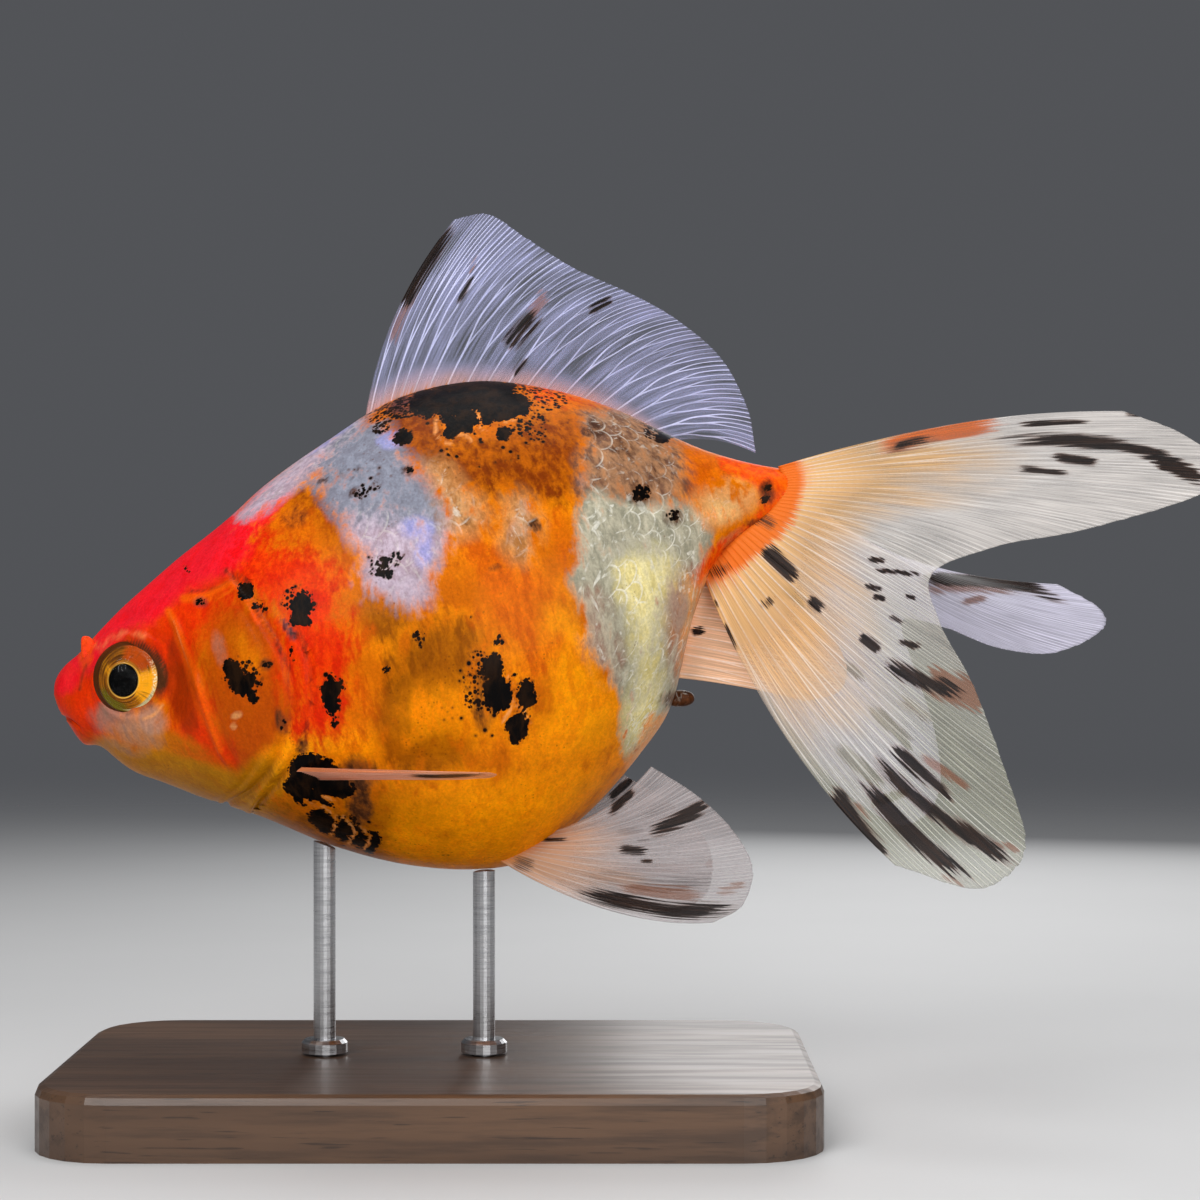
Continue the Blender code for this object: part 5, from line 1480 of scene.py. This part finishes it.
# %% Marks on the fins
DORSAL_BLACK = [
    ([(-4.5, 90.8), (-3.4, 93.2), (-1.2, 97), (1.8, 101.2)], 0.95, 1),
    ([(7.2, 86.4), (9, 88.4), (11.6, 91.4)], 0.95, 0.82), ([(16.6, 90.4), (19.6, 92.8)], 0.6, 0.55),
    ([(1.8, 91.6), (3.8, 95.4)], 0.35, 0.7), ([(8, 83.5), (10, 86)], 0.5, 0.6)
]
DORSAL_BROWN = [
    ([(-5.6, 86.5), (-4.4, 90.5), (-1.5, 95)], 0.7, 0.75), ([(9.6, 89), (12.4, 93.6)], 0.8, 0.75),
    ([(3, 95), (4.4, 98)], 0.3, 0.5)
]
TAIL_BLACK = [
    ([(36.5, 64.5), (38.2, 62.6), (40.6, 60.4)], 0.85, 1), ([(41.5, 58.7), (43.5, 57)], 0.7, 0.85),
    ([(36.7, 58.6), (37.4, 57.4)], 0.9, 0.45), ([(31.8, 55.8), (33.3, 52)], 0.55, 1),
    ([(31, 58.4), (31.3, 57.4)], 0.4, 0.5), ([(34.6, 67.4), (36.6, 67.4), (38.2, 66.2)], 0.8, 0.46),
    ([(30, 61.2), (31.6, 61.6), (33.2, 62.4)], 0.7, 0.46),
    ([(44, 37.4), (46.6, 33.8), (50.8, 29.2)], 0.85, 1),
    ([(47.2, 39), (51, 34), (55.5, 29.8), (61, 26.2)], 1, 1),
    ([(48.1, 41.2), (54, 35.8), (60, 31.6), (66.2, 28)], 0.95, 1),
    ([(50.6, 42.1), (54.5, 38.8), (59.2, 35.2)], 0.75, 1), ([(47.4, 54.4), (49.9, 52.5)], 0.6, 1),
    ([(51.6, 53.7), (54.6, 52.9)], 0.4, 0.9), ([(49.8, 51.6), (54, 49.4), (60, 47.4)], 0.95, 1),
    ([(47.9, 60), (50.2, 59.4)], 0.3, 0.9), ([(48.8, 58.8), (50.4, 58.3)], 0.3, 0.8),
    ([(52.4, 58.8), (54, 58.5)], 0.3, 0.8), ([(48.1, 62.9), (50.5, 62.7)], 0.35, 0.9),
    ([(48.8, 61.8), (54.6, 61.1)], 0.3, 0.8), ([(50.5, 56.6), (52.5, 55.6)], 0.3, 0.6),
    ([(61.5, 76.4), (72, 76.3), (80, 75), (86.8, 72)], 0.75, 1), ([(80, 74.9), (86.8, 71.6)], 0.9, 1),
    ([(65, 73.2), (71.4, 72.5)], 0.4, 1), ([(68.9, 74.5), (74.8, 73.8)], 0.5, 1),
    ([(65, 78.1), (74, 78.5)], 0.3, 0.85), ([(76.6, 79.4), (80.8, 79.2)], 0.35, 0.85),
    ([(50.8, 75.4), (53, 76.1), (56, 76.8)], 0.45, 0.9)
]
TAIL_BROWN = [
    ([(54, 49.9), (62.6, 46.6)], 1.7, 1.25), ([(49.4, 75), (57.4, 76.9)], 0.8, 0.8),
    ([(53.4, 41.4), (60.4, 36.4)], 0.6, 0.8), ([(60, 31.2), (66, 30)], 0.5, 0.7),
    ([(56, 27.6), (60, 26)], 0.6, 0.6), ([(46.6, 36), (49, 32.6)], 0.5, 0.6)
]
TAIL_BLAZE = [
    ([(48.5, 75.2), (56, 77.1), (64, 78.2)], 1, 1.2),
    ([(36.6, 79.5), (38.4, 75), (39, 71.6), (38, 67.8), (35.2, 65.2), (32.4, 63.2), (29.8, 61.8), (25, 58)],
     1.9, 1.2)
]
FAR_BLACK = [
    ([(58, 60.3), (62, 61), (67, 61.1), (72, 60.9), (78, 60), (83, 58)], 0.95, 1.2),
    ([(48, 40), (56, 33)], 0.9, 1), ([(52, 45), (60, 38.4)], 0.8, 1), ([(46, 52), (52, 48)], 0.6, 0.9),
    ([(40, 60), (43, 57)], 0.6, 0.9), ([(54, 31), (60, 33)], 0.7, 0.9)
]
FAR_BROWN = [
    ([(58, 59.6), (66, 60.2), (78, 59.4)], 1.1, 0.9), ([(64.3, 57.8), (70.3, 58.9)], 0.6, 0.8),
    ([(56, 46), (63, 42)], 0.9, 0.8)
]
PELVIC_BLACK = [
    ([(14.6, 25.6), (21, 24.2), (27, 23.2), (34.8, 23.8)], 0.95, 1), ([(18.8, 34), (22.2, 37)], 0.5, 1),
    ([(23.3, 31.8), (27, 33.4), (31, 35.8)], 0.75, 1), ([(20, 30.2), (23.6, 29.9)], 0.5, 0.95),
    ([(8, 28.8), (11, 28.2)], 0.8, 0.5), ([(11, 31.2), (14.8, 31.2)], 0.25, 0.8),
    ([(22.6, 28.9), (24.2, 28.8)], 0.3, 0.7)
]
PELVIC_BROWN = [
    ([(18.6, 25.6), (31, 25)], 0.8, 0.9), ([(31, 25), (34.8, 26.4)], 0.6, 0.8)
]
PECTORAL_BLACK = [
    ([(-9, 37.5), (-4, 37.2), (0, 37.8)], 0.16, 0.8), ([(-4, 38.5), (0, 38.4), (5.4, 38.6)], 0.2, 0.85),
    ([(3.4, 39.1), (5.4, 39.3)], 0.14, 0.8)
]
ANAL_BLACK = [
    ([(28.9, 55.4), (29.4, 54.2)], 0.7, 0.8), ([(26.6, 56), (26.8, 55.3)], 0.3, 0.6)
]
print("strokes on the tail's left half:", len(TAIL_BLACK) + len(TAIL_BROWN) + len(TAIL_BLAZE))

# %% Making the fins
fin("dorsal", ["dorsal_fin"], DORSAL, 20, 96, sail, black=DORSAL_BLACK, brown=DORSAL_BROWN,
    warm=(0.0, 0.28), thick=0.22, spine=0.35, seed=3)
fin("tail_left", ["tail_fin_left_upper", "tail_fin_left_lower"], TAIL_LEFT, 34, 110, veil,
    black=TAIL_BLACK, brown=TAIL_BROWN, blaze=TAIL_BLAZE, warm=(0.0, 0.85), thick=0.2, spine=0.2, seed=7,
    ruffle=0.45, lower_lobe_grey=(0.38, 0.82))
fin("tail_right", ["tail_fin_right_upper", "tail_fin_right_lower"], TAIL_RIGHT, 34, 110, bright_veil,
    side=1, black=FAR_BLACK, brown=FAR_BROWN, warm=(0.05, 0.6), thick=0.2, spine=0.2, seed=11,
    ruffle=0.45)
for side, sign in SIDES.items():
    fin(f"pelvic_{side}", [f"pelvic_fin_{side}"], PELVIC, 13, 64, soft, side=sign,
        black=PELVIC_BLACK, brown=PELVIC_BROWN, swing=RIGHT_PELVIC_SWING if sign > 0 else (0, 0, 0),
        warm=(0.0, 0.7), thick=0.13, spine=0.12, seed=20 + sign)
    fin(f"anal_{side}", [f"anal_fin_{side}"], ANAL, 10, 48, pink, side=sign, black=ANAL_BLACK,
        warm=(0.5, 1.6), seed=30 + sign)
    fin(f"pectoral_{side}", [f"pectoral_fin_{side}"], PECTORAL, 14, 56, blade, side=sign,
        black=PECTORAL_BLACK, warm=(0.2, 1.0), spine=0.15, seed=40 + sign, ruffle=0.2)

# %% [markdown]
# ## Eyes
#
# A fish's eye has a flat iris with a bright metal rim, a large round pupil filled by a bulging lens, and a
# clear cornea over all. The eyeball is turned: one profile, spun round the eye's own axis, which points out
# and a little forward. The cornea is a second, thin turned shape.
#
# The iris changes colour round the pupil, so the mesh brings a few numbers: ring, the distance from the
# axis, and gold, fire, olive and silver, which are strong at one hour of the dial each. Circles and fibres
# of noise break them.

# %% Iris material
IRIS_PAINTS = (("gold", (0.98, 0.40, 0.008)), ("fire", (0.46, 0.060, 0.002)), ("olive", (0.12, 0.095, 0.006)),
               ("silver", (0.50, 0.43, 0.22)))
PUPIL_BLACK = (0.001, 0.001, 0.001)
PUPIL_EDGE, HALO_EDGE, DARK_EDGE = (1.68, 1.63), (1.84, 1.74), (3.22, 3.36)  # where each begins and is full
SHINE_FROM, SHINE_TO = (1.64, 1.8), (3.3, 3.1)  # millimetres from the axis


def iris_finish():
    f = Finish("iris")
    east, north, ring = (f.value(key) for key in ("east", "north", "ring"))

    def stretched(round_the_dial, outwards, detail):
        return f.noise_at(f.times(east, round_the_dial), f.times(north, round_the_dial),
                          f.times(ring, outwards), detail)

    fibres = stretched(9.0, 0.9, 4.0)
    circles = stretched(0.9, 6.0, 3.0)
    colour = f.mix(f.step(circles, 0.38, 0.62), (0.10, 0.030, 0.003), (0.36, 0.12, 0.006))
    for key, paint in IRIS_PAINTS:
        ragged = f.plus(f.value(key), f.scaled(circles, 0.8, -0.4))
        colour = f.mix(f.step(ragged, 0.3, 0.7), colour, paint)
    colour = f.mix(f.times(f.step(fibres, 0.52, 0.72), 0.6), colour, (0.13, 0.045, 0.01))
    glints = f.times(f.step(f.noise(0.14, 2), 0.50, 0.58), f.value("glint"))
    colour = f.mix(glints, colour, (0.98, 0.86, 0.55))
    halo = f.times(f.step(ring, *HALO_EDGE), f.step(east, -1.0, 0.6, 0.45, 1.0))
    colour = f.mix(halo, colour, (0.85, 0.46, 0.07))
    colour = f.mix(f.step(ring, *PUPIL_EDGE), colour, PUPIL_BLACK)
    colour = f.mix(f.step(ring, *DARK_EDGE), colour, (0.075, 0.020, 0.004))
    shine = f.times(f.step(ring, *SHINE_FROM), f.step(ring, *SHINE_TO))
    return f.done({
        "Base Color": colour,
        "Metallic": f.times(shine, 0.12),
        "Roughness": f.step(ring, 1.6, 1.8, 0.12, 0.34),
        "Normal": f.bump(f.plus(fibres, circles), 0.08, 0.7),
        "Specular IOR Level": 0.04,
    })


iris = iris_finish()
print("iris nodes:", len(iris.node_tree.nodes))


# %% Cornea material
def cornea_finish():
    """Almost clear: only its gloss shows."""
    f = Finish("cornea")
    return f.done({
        "Base Color": (0.02, 0.02, 0.02),
        "Alpha": f.step(f.noise(2.5, 2), 0.2, 0.8, 0.015, 0.03),
        "Roughness": 0.03,
        "Coat Weight": 0.5,
        "Coat Roughness": 0.02,
    })


cornea = cornea_finish()
print("eye materials:", iris.name, cornea.name)

# %% Turning the eyes
EYEBALL_PROFILE = [  # distance from the axis, height along it
    (0.02, 3.02), (0.5, 3), (1, 2.92), (1.45, 2.74), (1.6, 2.58), (1.64, 2.55), (1.7, 2.64), (1.8, 2.66),
    (1.95, 2.6), (2.6, 2.54), (3, 2.5), (3.2, 2.5), (3.3, 2.42), (3.5, 2.1), (3.9, 1.8), (4.3, 1.2),
    (4.5, 0), (3.9, -2.2), (2.25, -3.9), (0.02, -4.5)]
CORNEA_PROFILE = [
    (0.02, 4.34), (0.9, 4.26), (1.8, 4), (2.6, 3.5), (3.1, 2.98), (3.34, 2.6), (3.4, 2.36), (3.28, 2.5),
    (3, 2.9), (2.5, 3.4), (1.7, 3.88), (0.8, 4.14), (0.02, 4.2)]
EYEBALL_ROWS, CORNEA_ROWS, EYE_TURNS = 130, 60, 120
PUPIL_SHIFT = (-0.24, -0.34)  # rearward and up, from the middle of the eyeball
IRIS_SHIFT = (0.48, 0.2)  # of the outer iris from the pupil
IRIS_TALLER = 0.11


def turned(profile, rows, side):
    """A profile spun round an eye's axis, as a closed mesh with the numbers that the iris reads."""
    middle, _, out, rearward, upward = eye_frame(side)
    radius, height = through(profile, np.linspace(0, 1, rows)).T
    angle = np.linspace(0, math.tau, EYE_TURNS, endpoint=False)
    taller = (1 + IRIS_TALLER * ease(radius, 4.4, 3.5))[:, None, None]
    outer = ease(radius, 1.9, 3.2)[:, None, None]
    east, north = np.cos(angle)[None, :, None], np.sin(angle)[None, :, None]
    radius, height = radius[:, None, None], height[:, None, None]
    points = middle + out * height
    points = points + rearward * (radius * east + PUPIL_SHIFT[0] + IRIS_SHIFT[0] * outer)
    points = points + upward * (radius * north * taller + PUPIL_SHIFT[1] + IRIS_SHIFT[1] * outer)
    if side == "right":
        points, angle = points[:, ::-1], angle[::-1]
    ring = np.broadcast_to(radius[..., 0], points.shape[:2])
    degrees = np.degrees(np.broadcast_to(angle, ring.shape)) % 360

    def near(middle_angle, width):
        return hump((degrees - middle_angle + 180) % 360 - 180, width)

    values = {
        "ring": ring,
        "east": np.cos(np.radians(degrees)),
        "north": np.sin(np.radians(degrees)),
        "gold": near(348, 42) + 0.45 * near(150, 25),
        "fire": near(60, 42) * ease(ring, 1.9, 2.2),
        "olive": near(235, 40) * ease(ring, 2.0, 2.4),
        "silver": 0.9 * near(305, 44) * ease(ring, 2.75, 3.1) * ease(ring, 3.34, 3.2),
        "glint": near(3, 36) * ease(ring, 2.8, 3.0) * ease(ring, 3.36, 3.24),
    }
    flat, faces, _ = closed_tube(points)
    for key, field in values.items():
        values[key] = np.concatenate([field.ravel(), [field[0].mean(), field[-1].mean()]])
    return flat, faces, values


for side in SIDES:
    eyeball_points, eyeball_faces, eyeball_values = turned(EYEBALL_PROFILE, EYEBALL_ROWS, side)
    eyeball = add_piece(f"eyeball_{side}", eyeball_points, eyeball_faces, iris, eyeball_values)
    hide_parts(f"eye_{side}")
    cornea_points, cornea_faces, _ = turned(CORNEA_PROFILE, CORNEA_ROWS, side)
    dome = add_piece(f"cornea_{side}", cornea_points, cornea_faces, cornea)
    print(side, "eyeball:", len(eyeball_faces), "faces")

# %% [markdown]
# ## The stand
#
# The base is a block of dark oiled wood, and the rods are brushed steel. Their solids are already right, so
# they stay and only get a finish. Wood grain is noise stretched along the board, and brushing is noise
# stretched round the rod.

# %% Stand materials
def wood_finish():
    f = Finish("oiled_walnut")
    grain = f.noise(1.6, 5, 0.6, stretch=(0.07, 1, 1))
    figure = f.noise(9, 3, 0.5, stretch=(0.12, 1, 1))
    pores = f.noise(0.35, 2, 0.5, stretch=(0.05, 1, 1))
    colour = f.mix(f.step(figure, 0.3, 0.7), (0.060, 0.030, 0.016), (0.12, 0.062, 0.032))
    colour = f.mix(f.times(f.step(grain, 0.45, 0.65), 0.6), colour, (0.035, 0.017, 0.009))
    colour = f.mix(f.times(f.step(pores, 0.62, 0.7), 0.6), colour, (0.015, 0.008, 0.005))
    return f.done({
        "Base Color": colour,
        "Roughness": f.step(grain, 0.3, 0.7, 0.34, 0.46),
        "Normal": f.bump(pores, 0.03, 0.5),
        "Coat Weight": 0.15,
        "Coat Roughness": 0.25,
    })


def steel_finish():
    f = Finish("brushed_steel")
    brushed = f.noise(0.5, 3, 0.6, stretch=(0.15, 0.15, 3))
    colour = f.mix(f.step(brushed, 0.3, 0.7), (0.44, 0.44, 0.45), (0.62, 0.62, 0.63))
    return f.done({
        "Base Color": colour,
        "Metallic": 1.0,
        "Roughness": f.step(brushed, 0.3, 0.7, 0.26, 0.38),
        "Normal": f.bump(brushed, 0.01, 0.4),
    })


wood, steel = wood_finish(), steel_finish()
for node, finish in (("stand_base", wood), ("stand_rod_front", steel), ("stand_rod_rear", steel)):
    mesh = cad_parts[node].data
    mesh.materials.clear()
    mesh.materials.append(finish)
    print(node, "in", finish.name)

# %% [markdown]
# ## Floor, light and camera
#
# A pale round floor fades out far from the stand, into a soft grey, so the fins' clear edges show against
# it. Broad lamps from the front and above give soft shading, and a smaller one behind the fish lights the
# fins' edges. The camera looks level along +Y at the fish's left side, from the place that the plan was
# drawn for.

# %% Floor
FADE_START, FADE_END = 0.12, 0.75  # metres from the middle
FLOOR_RADIUS, FLOOR_RINGS, FLOOR_TURNS = 900.0, 30, 96


def floor_finish():
    f = Finish("pale_floor")
    away = f.node("ShaderNodeVectorMath", {0: f.place}, operation="LENGTH").outputs["Value"]
    colour = f.mix(f.noise(40, 2), (0.60, 0.60, 0.60), (0.63, 0.63, 0.63))
    return f.done({"Base Color": colour, "Alpha": f.step(away, FADE_END, FADE_START), "Roughness": 0.7})


reach = np.linspace(0.5, FLOOR_RADIUS, FLOOR_RINGS)[:, None]
angle = np.linspace(0, math.tau, FLOOR_TURNS, endpoint=False)[None, :]
disc = np.stack([reach * np.cos(angle), reach * np.sin(angle), np.zeros((FLOOR_RINGS, FLOOR_TURNS))], -1)
floor_mesh = bpy.data.meshes.new("floor")
floor_mesh.from_pydata((disc.reshape(-1, 3) * MM).tolist(), [],
                       grid_faces(FLOOR_RINGS, FLOOR_TURNS, closed=True))
floor_mesh.materials.append(floor_finish())
floor = bpy.data.objects.new("floor", floor_mesh)
bpy.context.scene.collection.objects.link(floor)
print("floor radius:", FLOOR_RADIUS, "mm")

# %% Light
scene = bpy.context.scene
world = bpy.data.worlds.new("studio")
world.use_nodes = True
world.node_tree.nodes["Background"].inputs["Color"].default_value = (0.085, 0.088, 0.096, 1)
scene.world = world
scene.view_settings.view_transform = "Standard"
FISH_MIDDLE = Vector((15, 0, 60))


def lamp(name, place, size, power):
    """A square soft lamp that looks at the fish, in millimetres and watts."""
    data = bpy.data.lights.new(name, "AREA")
    data.size = size * MM
    data.energy = power
    made = bpy.data.objects.new(name, data)
    made.location = Vector(place) * MM
    made.rotation_euler = (FISH_MIDDLE - Vector(place)).to_track_quat("-Z", "Y").to_euler()
    scene.collection.objects.link(made)


lamp("key", (-160, -330, 330), 260, 1.4)
lamp("fill", (190, -400, 170), 260, 0.92)
lamp("top", (10, 60, 420), 260, 0.8)
lamp("behind", (120, 330, 160), 220, 0.4)
print("lamps:", len(bpy.data.lights))

# %% Camera
camera_data = bpy.data.cameras.new("camera")
camera_data.lens = 85
camera_data.sensor_width = 36
camera_data.clip_start = 0.01
camera = bpy.data.objects.new("camera", camera_data)
camera.location = (PLAN_MIDDLE[0] * MM, -PLAN_DISTANCE * MM, PLAN_MIDDLE[1] * MM)
camera.rotation_euler = (math.pi / 2, 0, 0)
scene.collection.objects.link(camera)
scene.camera = camera
print("picture width at the fish: %.1f mm" % (PLAN_DISTANCE * camera_data.sensor_width / camera_data.lens))

# %% [markdown]
# ## The end
